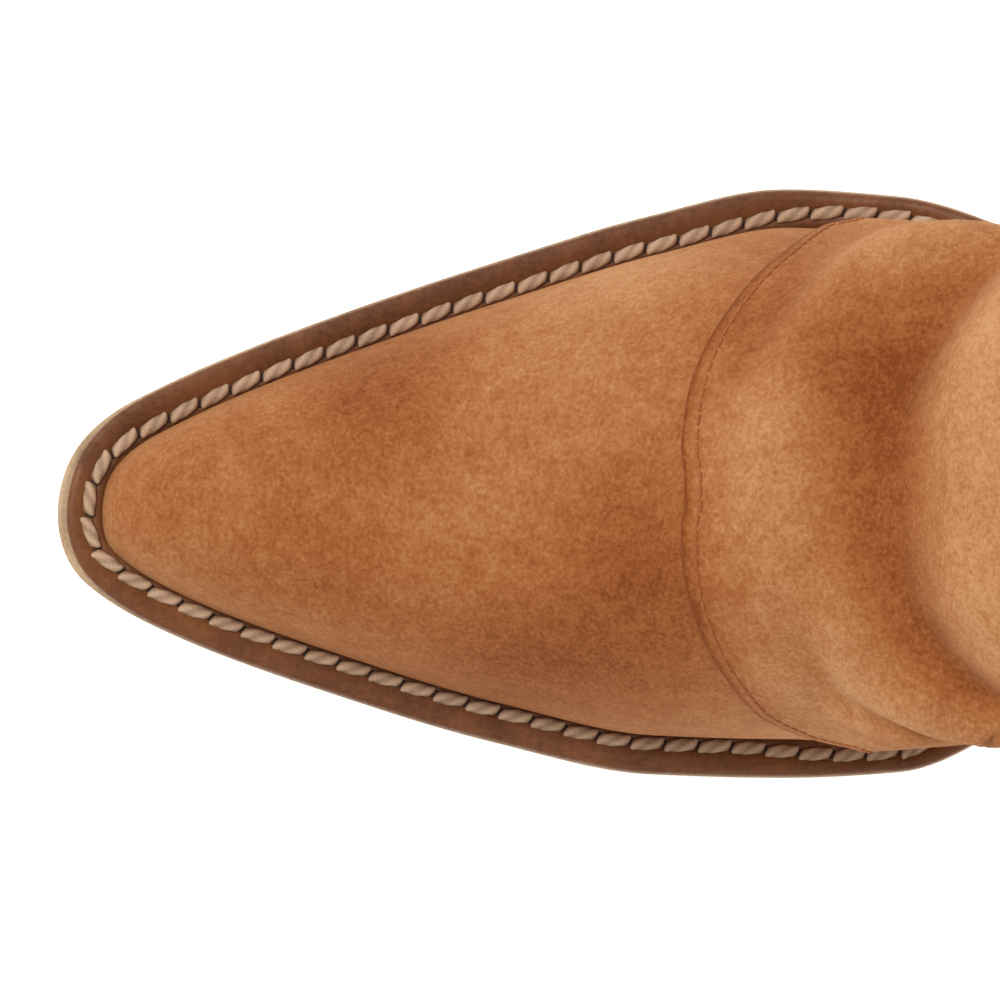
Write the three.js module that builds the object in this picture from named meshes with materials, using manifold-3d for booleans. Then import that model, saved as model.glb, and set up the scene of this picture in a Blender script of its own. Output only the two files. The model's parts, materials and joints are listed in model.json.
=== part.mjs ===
// A western boot for the right foot, in millimetres, +Z up, toe towards -Y, inner side of the foot towards +X.
// The sole is laid out along "run" (0 at the toe tip, 1 at the back of the heel); the upper is one surface,
// read as upperPoint(v, level): v goes round the boot (0 toe, +1/-1 heel, + inner side, - outer side) and
// level goes up it (0 at the welt, 1 at the ankle, 2 at the topline). Every leather part is a patch of that
// surface with its own depth, so all layers keep their clearance whatever size is changed.
import * as THREE from "three";
import { mergeVertices } from "three/addons/utils/BufferGeometryUtils.js";
import Module from "manifold-3d";

const wasm = await Module();
wasm.setup();

// ---- Driving dimensions -------------------------------------------------------------------------
const FIT = 0.3; // clearance between two pieces that touch on the real boot

const sole = {
  length: 292, // toe tip to the back of the heel seat
  tipInward: 5, // how far the toe tip lies towards the inner side
  ballOuter: 54.5, // from the tip's line to the widest point on the outer side
  forepartInner: [0.207, 0.327, 0.446, 0.659, 0.868, 0.986], // half widths before the ball, as shares of it
  forepartOuter: [0.189, 0.305, 0.402, 0.589, 0.778, 0.918],
  ballInner: 44, // the same on the inner side
  waistOuter: 39,
  waistInner: 22,
  heelOuter: 37,
  heelInner: 26,
  heelBackOuter: 6, // the back of the heel lies this far outward of the toe tip
  toeSpring: 9, // lift of the toe tip over the floor
  treadStart: 82, // the flat tread runs from here
  treadEnd: 122, // to here, measured from the toe tip
  seatFront: 37, // height of the heel seat over the heel breast
  seatBack: 42, // and at the very back
};

const outsoleThickness = 4.2;
const weltThickness = 2.7;
const weltWidth = 6; // from the sole edge to the upper, round the forepart
const waistWelt = 8; // from the sole edge to the vamp's own surface, along the waist
const randWidth = 6.2; // the same round the heel
const heelBreastRun = 0.69;

const leather = 1.4; // suede of the vamp, shaft and counter cover
const lining = 1.0;
const puffThickness = 1.2; // stiffener in the toe
const counterThickness = 1.6; // stiffener round the heel

const cork = 1.8;
const insole = 2.2;
const sock = 0.9;
const padThickness = 2.3;
const shank = { width: 14, thickness: 1.2, from: 0.52, to: 0.75 };

const heel = {
  capThickness: 6,
  liftCount: 5,
  stackTop: 33, // floor to the underside of the wedge lift
  backTaper: 14, // the back slopes in by this much down to the floor
  sideTaper: 5.5,
  breastSlope: 3, // the breast leans back by this much down to the floor
};

const shaft = {
  height: 285, // floor to the topline at the sides
  frontDip: 18, // the topline is this much lower in front
  backDip: 22, // and at the back
  topFront: 66, // half widths of the top opening
  topBack: 68,
  topSide: 54,
  ankleFront: 42,
  ankleBack: 60,
  ankleSide: 44,
};

const vampLength = 103; // from the sole's toe tip to the cut edge of the shaft panel, along the middle
const seamEndRun = 0.487; // run at which that edge comes down to the welt
const seamOverlap = 9; // how far the vamp goes on under the shaft panel
const seamRound = { flat: 2.4, steep: 0.55 }; // a higher flat broadens the seam's round, a lower steep fills it
const sideSeamRun = 0.63;

const bindingRadius = 2.4;
const piping = { width: 2.2, height: 2.3 };
const strap = { width: 18, thickness: 1.6, legLength: 42, standUp: 22, gape: 6.5, clearance: 0.6 };

const stitch = { pitch: 5.6, width: 2, height: 1, edgeDistance: 4.1, toHeel: 0.66 };
const seamThread = {
  width: 0.8, height: 0.5,
  fromEdge: 2, // behind the panel's cut edge
  clearance: 1.3,
  endLift: 0.8, // more clearance where the seam runs steeply down to the welt
  reach: 0.965, // share of the way down to the welt that is sewn
};

const seatNail = { radius: 1.1, headRadius: 2.2, headThickness: 0.9, length: 15 };
const capNail = { radius: 0.9, headRadius: 1.8, headThickness: 0.8, length: 14, recess: 0.5 };

// ---- Small mathematical helpers -----------------------------------------------------------------
const mix = (a, b, t) => a + (b - a) * t;
const clamp01 = (t) => Math.min(1, Math.max(0, t));
const smooth = (a, b, x) => {
  const t = clamp01((x - a) / (b - a));
  return t * t * (3 - 2 * t);
};
const bell = (x) => Math.exp(-x * x);
const span = (from, to, count) => Array.from({ length: count + 1 }, (_, i) => mix(from, to, i / count));

/** A smooth curve through [x, y] points that never overshoots them, as a function of x. */
function curveThrough(points) {
  const slopes = points.slice(1).map(([x, y], i) => (y - points[i][1]) / (x - points[i][0]));
  const tangents = points.map((_, i) => {
    const before = slopes[Math.max(i - 1, 0)];
    const after = slopes[Math.min(i, slopes.length - 1)];
    return before * after > 0 ? (2 * before * after) / (before + after) : 0;
  });
  return (x) => {
    let i = 0;
    while (i < slopes.length - 1 && x > points[i + 1][0]) i += 1;
    const [x0, y0] = points[i];
    const [x1, y1] = points[i + 1];
    const step = x1 - x0;
    const t = clamp01((x - x0) / step);
    const u = 1 - t;
    return (
      y0 * (1 + 2 * t) * u * u +
      tangents[i] * step * t * u * u +
      y1 * t * t * (3 - 2 * t) -
      tangents[i + 1] * step * t * t * u
    );
  };
}

// ---- Sole line ----------------------------------------------------------------------------------
const strapHalfRun = 0.027;
const runToLength = (run) => (sole.length * (1 - Math.cos(Math.PI * run))) / 2;
const lengthToRun = (s) => Math.acos(1 - (2 * s) / sole.length) / Math.PI;

/** Places along the foot are given for a sole of this length, and move in step with the sole's own length. */
const patternLength = 292;
const along = (place) => (place * sole.length) / patternLength;
const places = (points) => points.map(([place, value]) => [along(place), value]);

/** Where the vamp's hidden margin under the shaft panel comes down to the welt. */
const vampEndRun = lengthToRun(runToLength(seamEndRun) + seamOverlap);

/** Runs at which sole and upper have their vertices: closer together where the outline is tight. */
const stations = [
  0, 0.03, 0.06, 0.09, 0.13, 0.17, 0.21, 0.25, 0.3, lengthToRun(sole.treadStart), 0.4,
  lengthToRun(sole.treadEnd), 0.47, seamEndRun, vampEndRun, 0.54, 0.57, sideSeamRun - strapHalfRun, sideSeamRun,
  sideSeamRun + strapHalfRun, heelBreastRun, 0.72, 0.76, 0.81, 0.87, 0.93, 1,
].sort((a, b) => a - b);

/** Runs at which the forepart's outline is set, from the round of the toe back to the ball. */
const forepartRuns = [0.061, 0.11, 0.161, 0.25, 0.333, 0.394];

/** Half width of the sole from the toe tip's line, on one side, against run. */
function halfWidthCurve(forepart, ball, waist, heelSeat, heelBack) {
  return curveThrough([
    [0, 0],
    ...forepartRuns.map((run, i) => [run, forepart[i] * ball]),
    [0.445, ball],
    [0.487, 0.975 * ball],
    [0.58, waist],
    [0.72, heelSeat],
    [0.79, heelSeat],
    [0.9, mix(heelBack, heelSeat, 0.7)],
    [1, heelBack],
  ]);
}
const innerHalf = halfWidthCurve(
  sole.forepartInner, sole.ballInner, sole.waistInner, sole.heelInner, -sole.heelBackOuter,
);
const outerHalf = halfWidthCurve(
  sole.forepartOuter, sole.ballOuter, sole.waistOuter, sole.heelOuter, sole.heelBackOuter,
);

/** Splits v into a side (+1 inner, -1 outer) and a run, wrapping past the heel. */
function sideAndRun(v) {
  const wrapped = v > 1 ? v - 2 : v < -1 ? v + 2 : v;
  return [wrapped < 0 ? -1 : 1, Math.abs(wrapped)];
}

/** Plan point [x, y] of the sole edge at v, moved in by inset at right angles to the edge. */
function edgePoint(v, inset = 0) {
  const [side, run] = sideAndRun(v);
  const half = side > 0 ? innerHalf : outerHalf;
  const at = (r) => [sole.tipInward + side * half(r), runToLength(r)];
  const step = 1e-3;
  const [x0, y0] = at(Math.max(run - step, 0));
  const [x1, y1] = at(Math.min(run + step, 1));
  const reach = Math.hypot(x1 - x0, y1 - y0);
  let normal = [(-side * (y1 - y0)) / reach, (side * (x1 - x0)) / reach];
  if (run < step) normal = [0, 1];
  if (run > 1 - step) normal = [0, -1];
  const [x, y] = at(run);
  return [x + normal[0] * inset, y + normal[1] * inset];
}

/** The sole's underside as a smooth line: height over the floor against the distance from the toe tip. */
const undersideLine = curveThrough([
  [0, sole.toeSpring],
  [0.45 * sole.treadStart, 0.34 * sole.toeSpring],
  [0.75 * sole.treadStart, 0.09 * sole.toeSpring],
  [sole.treadStart, 0],
  [sole.treadEnd, 0],
  [sole.treadEnd + 22, 0.09 * sole.seatFront],
  [sole.treadEnd + 44, 0.32 * sole.seatFront],
  [sole.treadEnd + 74, 0.75 * sole.seatFront],
  [runToLength(heelBreastRun), sole.seatFront],
  [sole.length, sole.seatBack],
]);

/** Height of the underside, straight between stations as the sole's own faces are. */
function undersideHeight(y) {
  const after = Math.max(stations.findIndex((run) => runToLength(run) >= y), 1);
  const [from, to] = [stations[after - 1], stations[after]].map(runToLength);
  return mix(undersideLine(from), undersideLine(to), clamp01((y - from) / (to - from)));
}

const weltInset = curveThrough([
  [0, weltWidth],
  [seamEndRun, weltWidth],
  [seamEndRun + 0.05, waistWelt],
  [heelBreastRun - 0.08, waistWelt],
  [heelBreastRun, randWidth],
  [1, randWidth],
]);
const featherPoint = (v) => edgePoint(v, weltInset(sideAndRun(v)[1]));
const featherRise = outsoleThickness + 0.7; // the upper stands on the outsole, inside the welt
const insoleRise = featherRise + cork + FIT;
const sockRise = insoleRise + insole + FIT;
const insoleInset = (run) => weltInset(run) + leather + puffThickness + lining + 4 * FIT + 0.8;

// ---- Upper surface ------------------------------------------------------------------------------
/** Angle round the leg, against run: 0 in front, a quarter turn at the side seam, a half turn behind. */
const legAngle = curveThrough([
  [0, 0],
  [0.137, 0.08],
  [0.333, 0.28],
  [0.487, 0.75],
  [sideSeamRun, Math.PI / 2],
  [0.8, 2.32],
  [1, Math.PI],
]);

const legCentre = along(214);
const ankleCentre = along(208);
const rings = [
  {
    level: 1.2, centre: ankleCentre, front: shaft.ankleFront, back: shaft.ankleBack, side: shaft.ankleSide,
    height: 116, frontRise: 12, backRise: -8,
  },
  {
    level: 1.45, centre: legCentre - 2, front: mix(shaft.ankleFront, shaft.topFront, 0.25),
    back: mix(shaft.ankleBack, shaft.topBack, 0.2), side: mix(shaft.ankleSide, shaft.topSide, 0.25),
    height: mix(116, shaft.height, 0.32), frontRise: 4, backRise: -6,
  },
  {
    level: 1.7, centre: legCentre, front: mix(shaft.ankleFront, shaft.topFront, 0.65),
    back: mix(shaft.ankleBack, shaft.topBack, 0.6), side: mix(shaft.ankleSide, shaft.topSide, 0.7),
    height: mix(116, shaft.height, 0.63), frontRise: -6, backRise: -8,
  },
  {
    level: 2, centre: legCentre + 2, front: shaft.topFront, back: shaft.topBack, side: shaft.topSide,
    height: shaft.height, frontRise: -shaft.frontDip, backRise: -shaft.backDip,
  },
];

/** A point of one ring round the leg: an oval in plan whose height dips or rises front and back. */
function ringPoint(ring, v) {
  const [side, run] = sideAndRun(v);
  const angle = legAngle(run);
  const forward = Math.cos(angle);
  const half = forward > 0 ? ring.front : ring.back;
  const rise = forward > 0 ? ring.frontRise : ring.backRise;
  return new THREE.Vector3(
    side * ring.side * Math.sin(angle),
    ring.centre - half * forward,
    ring.height + rise * forward * forward,
  );
}

/** Height of the foot's ridge line, against the square root of the place behind the upper's tip. */
const ridgeHeight = curveThrough([
  [0, undersideHeight(weltWidth) + featherRise],
  [2, 24],
  [3.2, 30],
  [5.8, 37],
  [7.3, 43],
  [8.6, 51],
  [9.8, 62],
  [11.2, 79],
  [12.3, 101],
  [13.3, 126],
]);
const ridgeInward = curveThrough(places([
  [0, sole.tipInward],
  [60, 5],
  [110, 4],
  [180, 0],
]));

const featherTable = [1, -1].map((side) => span(0, 1, 300).map((run) => featherPoint(side * run)));
/** X of the feather line on one side at a distance from the toe tip. */
function featherX(side, y) {
  const table = featherTable[side > 0 ? 0 : 1];
  let low = 0;
  let high = table.length - 1;
  while (high - low > 1) {
    const middle = (low + high) >> 1;
    if (table[middle][1] > y) high = middle;
    else low = middle;
  }
  const [x0, y0] = table[low];
  const [x1, y1] = table[high];
  return mix(x0, x1, clamp01((y - y0) / (y1 - y0 || 1)));
}

/** Height of the foot over a plan point: across the foot it is a rounded arch from welt to welt. */
function footHeight(x, y) {
  const base = undersideHeight(y) + featherRise;
  const top = ridgeHeight(Math.sqrt((Math.max(y - weltWidth, 0) * patternLength) / sole.length));
  const middle = ridgeInward(y);
  const half = Math.max(Math.abs(featherX(x > middle ? 1 : -1, y) - middle), instepHalf * smooth(along(104), along(140), y));
  const share = clamp01(half < 1e-6 ? 0 : Math.abs(x - middle) / half);
  return base + (top - base) * Math.pow(1 - Math.pow(share, 2.15), 1 / 2.15);
}

const footReach = 0.92; // the foot part ends this share of the way in to the ankle ring
const heelBulge = 5.5;
const heelWallTop = 94;
const instepHalf = 49; // half width of the soft upper over the waist of the sole

/** The foot part, level 0 to 1: over the toes it follows footHeight, round the heel it is a curved wall. */
function footPoint(v, level) {
  const [fx, fy] = featherPoint(v);
  const ankle = ringPoint(rings[0], v);
  const share = footReach * (1 - Math.cos((Math.PI / 2) * level));
  const x = mix(fx, ankle.x, share);
  const y = mix(fy, ankle.y, share);
  const base = undersideHeight(fy) + featherRise;
  const wallLevel = 0.55 * smooth(along(116), along(140), fy);
  const rise = level < wallLevel ? Math.sin((Math.PI / 2) * (level / wallLevel)) : 1;
  const overToes = new THREE.Vector3(x, y, mix(base, footHeight(x, y), rise));
  const wall = smooth(along(140), along(200), fy);
  if (wall === 0) return overToes;
  const lean = smooth(0, 1, level) * 0.86;
  const [ox, oy] = edgePoint(v, 0);
  const out = Math.hypot(ox - fx, oy - fy) || 1;
  const swell = (heelBulge * Math.sin(Math.PI * level) ** 2) / out;
  const round = new THREE.Vector3(
    mix(fx, ankle.x, lean) + (ox - fx) * swell,
    mix(fy, ankle.y, lean) + (oy - fy) * swell,
    mix(base, heelWallTop, level),
  );
  return overToes.lerp(round, wall);
}

/** The upper before it slouches. */
function plainPoint(v, level) {
  if (level <= 1) return footPoint(v, level);
  const step = 1e-3;
  const start = footPoint(v, 1);
  const knots = [{ level: 1, point: start }, ...rings.map((r) => ({ level: r.level, point: ringPoint(r, v) }))];
  const slope = (i) => {
    if (i === 0) return start.clone().sub(footPoint(v, 1 - step)).divideScalar(step);
    const a = knots[i - 1];
    const b = knots[Math.min(i + 1, knots.length - 1)];
    return b.point.clone().sub(a.point).divideScalar(b.level - a.level);
  };
  let i = 0;
  while (i < knots.length - 2 && level > knots[i + 1].level) i += 1;
  const width = knots[i + 1].level - knots[i].level;
  const t = clamp01((level - knots[i].level) / width);
  const u = 1 - t;
  return new THREE.Vector3()
    .addScaledVector(knots[i].point, (1 + 2 * t) * u * u)
    .addScaledVector(slope(i), width * t * u * u)
    .addScaledVector(knots[i + 1].point, t * t * (3 - 2 * t))
    .addScaledVector(slope(i + 1), -width * t * t * u);
}

/** Soft folds of the shaft: how far the surface stands out (+) or in (-) at v and level. */
const folds = [
  { front: 0.84, side: 0.42, height: 5, narrow: 0.045, wide: 0.2 },
  { front: 0.935, side: 0.95, height: -6, narrow: 0.04, wide: 0.1 },
  { front: 1.05, side: 1.12, height: 5, narrow: 0.06, wide: 0.08 },
  { front: 1.24, side: 1.3, height: -4, narrow: 0.06, wide: 0.06 },
  { front: 1.38, side: 1.45, height: 3, narrow: 0.07, wide: 0.07 },
];
function foldHeight(v, level) {
  const run = sideAndRun(v)[1];
  const toSide = smooth(0.1, 0.52, run);
  const fade = 1 - smooth(0.6, 0.85, run) * smooth(1.25, 0.95, level);
  let total = 0;
  for (const fold of folds) {
    const crest = mix(fold.front, fold.side, toSide);
    total += fold.height * bell((level - crest) / mix(fold.narrow, fold.wide, toSide));
  }
  return total * fade * smooth(0.05, 0.22, level - seamLevel(v));
}

function surfaceFrame(point, v, level) {
  const step = 2e-3;
  const alongV = point(v + step, level).sub(point(v - step, level)).normalize();
  const low = Math.max(level - step, 0);
  const high = Math.min(level + step, 2);
  const alongLevel = point(v, high).sub(point(v, low)).normalize();
  const normal = new THREE.Vector3().crossVectors(alongV, alongLevel).normalize();
  return { alongV, alongLevel, normal };
}
function foldedPoint(v, level) {
  const at = plainPoint(v, level);
  const height = foldHeight(v, level);
  if (Math.abs(height) > 1e-4) at.addScaledVector(surfaceFrame(plainPoint, v, level).normal, height);
  return at;
}

/** A point of the upper, depth outside (+) or inside (-) the vamp's outer face. */
function upperPoint(v, level, depth = 0, sideways = 0) {
  const frame = surfaceFrame(foldedPoint, v, level);
  const onSeat = level < 1e-3;
  if (onSeat) {
    const [outX, outY] = edgePoint(v, -1);
    const [edgeX, edgeY] = edgePoint(v, 0);
    frame.normal.set(outX - edgeX, outY - edgeY, 0);
  }
  const at = foldedPoint(v, level).addScaledVector(frame.normal, depth).addScaledVector(frame.alongV, sideways);
  if (onSeat) at.z = undersideHeight(at.y) + featherRise;
  return at;
}

/** Level of the shaft panel's cut edge over the vamp, moved back along the middle by extra millimetres. */
function seamLevel(v, extra = 0) {
  const tip = weltWidth;
  const reach = footReach * (ankleCentre - shaft.ankleFront - tip);
  const apex = (2 / Math.PI) * Math.acos(1 - (vampLength + extra - tip) / reach);
  const end = lengthToRun(runToLength(seamEndRun) + extra);
  const share = Math.min(sideAndRun(v)[1] / end, 1);
  return apex * Math.pow(1 - Math.pow(share, seamRound.flat), seamRound.steep);
}

// ---- Making closed meshes -----------------------------------------------------------------------
/** Gathers points and faces; points closer than a micrometre are one, and faces that vanish are left out. */
function meshFrom(faces) {
  const index = new Map();
  const positions = [];
  const indexOf = (p) => {
    const key = p.toArray().map((n) => Math.round(n * 1e3)).join();
    if (!index.has(key)) {
      index.set(key, positions.length / 3);
      positions.push(p.x, p.y, p.z);
    }
    return index.get(key);
  };
  const triangles = [];
  for (const face of faces) {
    const [a, b, c] = face.map(indexOf);
    if (a !== b && b !== c && c !== a) triangles.push(a, b, c);
  }
  const geometry = new THREE.BufferGeometry();
  geometry.setAttribute("position", new THREE.Float32BufferAttribute(positions, 3));
  geometry.setIndex(triangles);
  return geometry;
}

/** The faces between two rows of points, seen from outside with the first row below. */
const strip = (below, above) =>
  below.slice(1).flatMap((b, i) => [
    [below[i], b, above[i + 1]],
    [below[i], above[i + 1], above[i]],
  ]);

/** A closed sheet between two grids of the same size: grid[i][j], with i x j facing out of outer. */
function sheet(outer, inner) {
  const last = outer.length - 1;
  const faces = [];
  for (let i = 0; i < last; i += 1) {
    faces.push(...strip(outer[i + 1], outer[i]));
    faces.push(...strip(inner[i], inner[i + 1]));
  }
  faces.push(...strip(outer[0], inner[0]));
  faces.push(...strip(inner[last], outer[last]));
  faces.push(...strip(inner.map((row) => row[0]), outer.map((row) => row[0])));
  faces.push(...strip(outer.map((row) => row.at(-1)), inner.map((row) => row.at(-1))));
  return meshFrom(faces);
}

/** A closed bar through sections of the same number of points, each listed anticlockwise seen along it. */
function bar(sections, closed = false) {
  const faces = [];
  const count = sections.length;
  for (let i = 0; i < count - (closed ? 0 : 1); i += 1) {
    const a = sections[i];
    const b = sections[(i + 1) % count];
    faces.push(...strip([...a, a[0]], [...b, b[0]]));
  }
  if (!closed) {
    for (let k = 1; k < sections[0].length - 1; k += 1) {
      faces.push([sections[0][0], sections[0][k + 1], sections[0][k]]);
      const end = sections[count - 1];
      faces.push([end[0], end[k], end[k + 1]]);
    }
  }
  return meshFrom(faces);
}

function toManifold(geometry) {
  const source = geometry.clone();
  for (const name of Object.keys(source.attributes)) if (name !== "position") source.deleteAttribute(name);
  const merged = mergeVertices(source, 1e-4);
  return new wasm.Manifold(
    new wasm.Mesh({
      numProp: 3,
      vertProperties: merged.attributes.position.array,
      triVerts: new Uint32Array(merged.index.array),
    }),
  );
}
function fromManifold(solid) {
  const mesh = solid.getMesh();
  const geometry = new THREE.BufferGeometry();
  geometry.setAttribute("position", new THREE.BufferAttribute(mesh.vertProperties, 3));
  geometry.setIndex(new THREE.BufferAttribute(mesh.triVerts, 1));
  return geometry;
}
const cut = (geometry, tools) =>
  fromManifold(tools.reduce((body, tool) => body.subtract(toManifold(tool)), toManifold(geometry)));

// ---- Upper parts --------------------------------------------------------------------------------
/**
 * A patch of the upper: columns of v, levels from low(v) to high(v), between two depths. A depth is a
 * number or a function of (v, level). Edge gaps pull the first and last column in, in millimetres.
 * Every patch keeps to the same levels and columns, so the flat faces of neighbouring layers stay parallel.
 */
function patch({ columns, low, high, outside, inside, edgeGap = 0 }) {
  const depthAt = (depth, v, level) => (typeof depth === "function" ? depth(v, level) : depth);
  const grid = (depth) =>
    columns.map((v, i) => {
      const sideways = i === 0 ? edgeGap : i === columns.length - 1 ? -edgeGap : 0;
      return levels.map((wanted) => {
        const level = Math.min(Math.max(wanted, low(v)), high(v));
        const above = Math.max(levels.findIndex((l) => l >= level - 1e-9), 1);
        const [a, b] = [levels[above - 1], levels[above]];
        const [from, to] = [a, b].map((l) => upperPoint(v, l, depthAt(depth, v, l), sideways));
        return from.lerp(to, (level - a) / (b - a));
      });
    });
  return sheet(grid(outside), grid(inside));
}
const levels = [
  0, 0.05, 0.12, 0.2, 0.3, 0.4, 0.5, 0.59, 0.67, 0.735, 0.79, 0.84, 0.89, 0.94, 1, 1.07, 1.15, 1.24, 1.35, 1.5,
  1.7, 2,
];

/** Columns on both sides of the toe or heel, from runs on one side. */
const bothSides = (runs) => [...runs.slice(1).reverse().map((r) => -r), ...runs];
const roundHeel = (runs) => [...runs, ...runs.slice(0, -1).reverse().map((r) => 2 - r)];

const lapClearance = along(1.12); // between the vamp and the curved panel that laps over it
const panelInside = lapClearance;
const panelOutside = panelInside + leather;
const layerGap = 0.95; // between curved layers that are cut to different outlines
const coverInside = panelOutside + layerGap;
const coverOutside = coverInside + leather;
const topLevel = () => 2;
const welted = () => 0;

/** 1 over the toes, fading to 0 behind the toe puff. */
const puffShare = (v, level) => 1 - smooth(along(58), along(80), plainPoint(v, level).y);
const puffDepth = puffThickness + FIT;
const vampLiningOutside = (v, level) => -leather - layerGap - puffDepth * puffShare(v, level);
const counterShare = (v, level) => smooth(0.66, 0.71, sideAndRun(v)[1]) * (1 - smooth(0.86, 1.08, level));
const counterDepth = counterThickness + layerGap;
const seamTuck = (v) => 1.6 * bell((sideAndRun(v)[1] - seamEndRun + 0.012) / 0.035); // clear of the seam's ends
const shaftLiningOutside = (v, level) => -0.6 - seamTuck(v) - counterDepth * counterShare(v, level);

function vamp() {
  const runs = stations.filter((run) => run <= vampEndRun);
  return patch({
    columns: bothSides(runs), low: welted, high: (v) => seamLevel(v, seamOverlap),
    outside: 0, inside: -leather,
  });
}

function vampLining() {
  const runs = stations.filter((run) => run <= vampEndRun);
  return patch({
    columns: bothSides(runs), low: welted, high: (v) => seamLevel(v, seamOverlap),
    outside: vampLiningOutside, inside: (v, level) => vampLiningOutside(v, level) - lining,
  });
}

const puffRun = 0.21;
const puffLevel = 0.4;
function toePuff() {
  const runs = stations.filter((run) => run <= puffRun);
  return patch({
    columns: bothSides(runs), low: welted, high: () => puffLevel,
    outside: -leather - FIT,
    inside: -leather - FIT - puffThickness,
  });
}

const frontRuns = [0, 0.09, 0.17, 0.25, ...stations.filter((run) => run > 0.29 && run <= sideSeamRun)];
const backRuns = stations.filter((run) => run >= sideSeamRun);
function shaftPanel(front) {
  return patch({
    columns: front ? bothSides(frontRuns) : roundHeel(backRuns), low: front ? seamLevel : welted,
    high: topLevel, outside: panelOutside, inside: panelInside,
    edgeGap: piping.width / 2 + FIT,
  });
}

function shaftLining(front) {
  const low = front ? (v) => seamLevel(v, seamOverlap + 1) : welted;
  return patch({
    columns: front ? bothSides(frontRuns) : roundHeel(backRuns), low, high: topLevel,
    outside: shaftLiningOutside, inside: (v, level) => shaftLiningOutside(v, level) - lining,
    edgeGap: FIT,
  });
}

const counterRuns = backRuns.filter((run) => run > 0.71);
const counterTop = (v) => 0.38 + 0.66 * (1 - Math.pow((1 - sideAndRun(v)[1]) / (1 - counterRuns[0]), 2));
function counterCover() {
  return patch({
    columns: roundHeel(counterRuns), low: welted, high: counterTop,
    outside: coverOutside, inside: coverInside,
  });
}
function counterStiffener() {
  return patch({
    columns: roundHeel(counterRuns), low: welted,
    high: (v) => Math.min(counterTop(v), 0.92) - 0.06,
    outside: 0, inside: (v, level) => Math.min(shaftLiningOutside(v, level) + layerGap, -0.4),
  });
}

/** Points of a small section laid on the upper at (v, level): each is [sideways, depth]. */
const sectionOn = (v, level, outline) =>
  outline.map(([sideways, depth]) => upperPoint(v, level, depth, sideways));

const pipingLevels = [0.01, ...levels.slice(1, -1), 1.99];
function sidePiping(side) {
  const half = piping.width / 2;
  const base = panelInside;
  const top = base + piping.height;
  const outline = [
    [-half, base], [half, base], [half, top - 0.6], [0.45 * half, top], [-0.45 * half, top], [-half, top - 0.6],
  ];
  return bar(pipingLevels.map((level) => sectionOn(side * sideSeamRun, level, outline).reverse()));
}

/** Centre of the topline binding at v: just over the raw edges of the panel and its lining. */
const stackMiddle = (panelOutside - lining) / 2;
const bindingCentre = (v) => {
  const at = upperPoint(v, 2, stackMiddle);
  at.z += bindingRadius + FIT;
  return at;
};
function toplineBinding() {
  const runs = [0, 0.2, 0.32, 0.4, 0.45, 0.49, 0.53, 0.56, 0.59, 0.61, 0.63, 0.65, 0.675, 0.71, 0.75, 0.8, 0.86, 0.93];
  const columns = [...runs, 1, ...runs.slice(1).reverse().map((r) => -r)];
  const up = new THREE.Vector3(0, 0, 1);
  return bar(
    columns.map((v) => {
      const centre = bindingCentre(v);
      const along = bindingCentre(v + 2e-3).sub(bindingCentre(v - 2e-3)).normalize();
      const out = new THREE.Vector3().crossVectors(along, up).normalize();
      const lift = new THREE.Vector3().crossVectors(out, along);
      return span(0, 2 * Math.PI, 8).slice(0, -1).map((angle) =>
        centre.clone()
          .addScaledVector(out, bindingRadius * Math.cos(angle))
          .addScaledVector(lift, bindingRadius * Math.sin(angle)),
      ).reverse();
    }),
    true,
  );
}

/** Axis that a pull strap turns about: the binding's centre, levelled over the strap's width. */
function strapAxis(side) {
  const middle = bindingCentre(side * sideSeamRun);
  const edge = bindingCentre(side * (sideSeamRun + strapHalfRun));
  return new THREE.Vector3((middle.x + edge.x) / 2, middle.y, (middle.z + edge.z) / 2);
}
const legTop = 1.985;
const legLevels = (strap.legLength / (shaft.height - rings[2].height)) * 0.3;

function strapLeg(side, outer) {
  const inside = outer ? panelInside + piping.height + FIT : -0.6 - lining - FIT - strap.thickness;
  return patch({
    columns: [-1, 0, 1].map((k) => side * sideSeamRun + k * strapHalfRun),
    low: () => legTop - legLevels, high: () => legTop,
    outside: inside + strap.thickness, inside,
  });
}

/** The free loop of a pull strap: a strip that hugs the binding, gapes for a finger and closes above. */
function strapLoop(side) {
  const hug = bindingRadius + strap.clearance;
  const wall = (grow) => {
    const gape = strap.gape + grow;
    const top = strap.standUp - strap.thickness + grow;
    const shoulder = top - gape;
    return [[hug + grow, 0], [hug + grow, 2.5], [gape, 9], [gape, shoulder],
      ...span(0, Math.PI / 2, 4).slice(1, -1).map((a) => [gape * Math.cos(a), shoulder + gape * Math.sin(a)]),
      [0, top]];
  };
  const mirrored = (points) => points.slice(0, -1).reverse().map(([x, z]) => [-x, z]);
  const outer = wall(strap.thickness);
  const inner = wall(0);
  const outline = [...outer, ...mirrored(outer), ...mirrored(inner).reverse(), ...[...inner].reverse()];
  const shape = new THREE.Shape(outline.map(([x, z]) => new THREE.Vector2(x, z)));
  const geometry = new THREE.ExtrudeGeometry(shape, { depth: strap.width, bevelEnabled: false });
  geometry.translate(0, 0, -strap.width / 2);
  geometry.rotateX(Math.PI / 2);
  const at = strapAxis(side);
  geometry.translate(at.x, at.y, at.z);
  return geometry;
}

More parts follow.
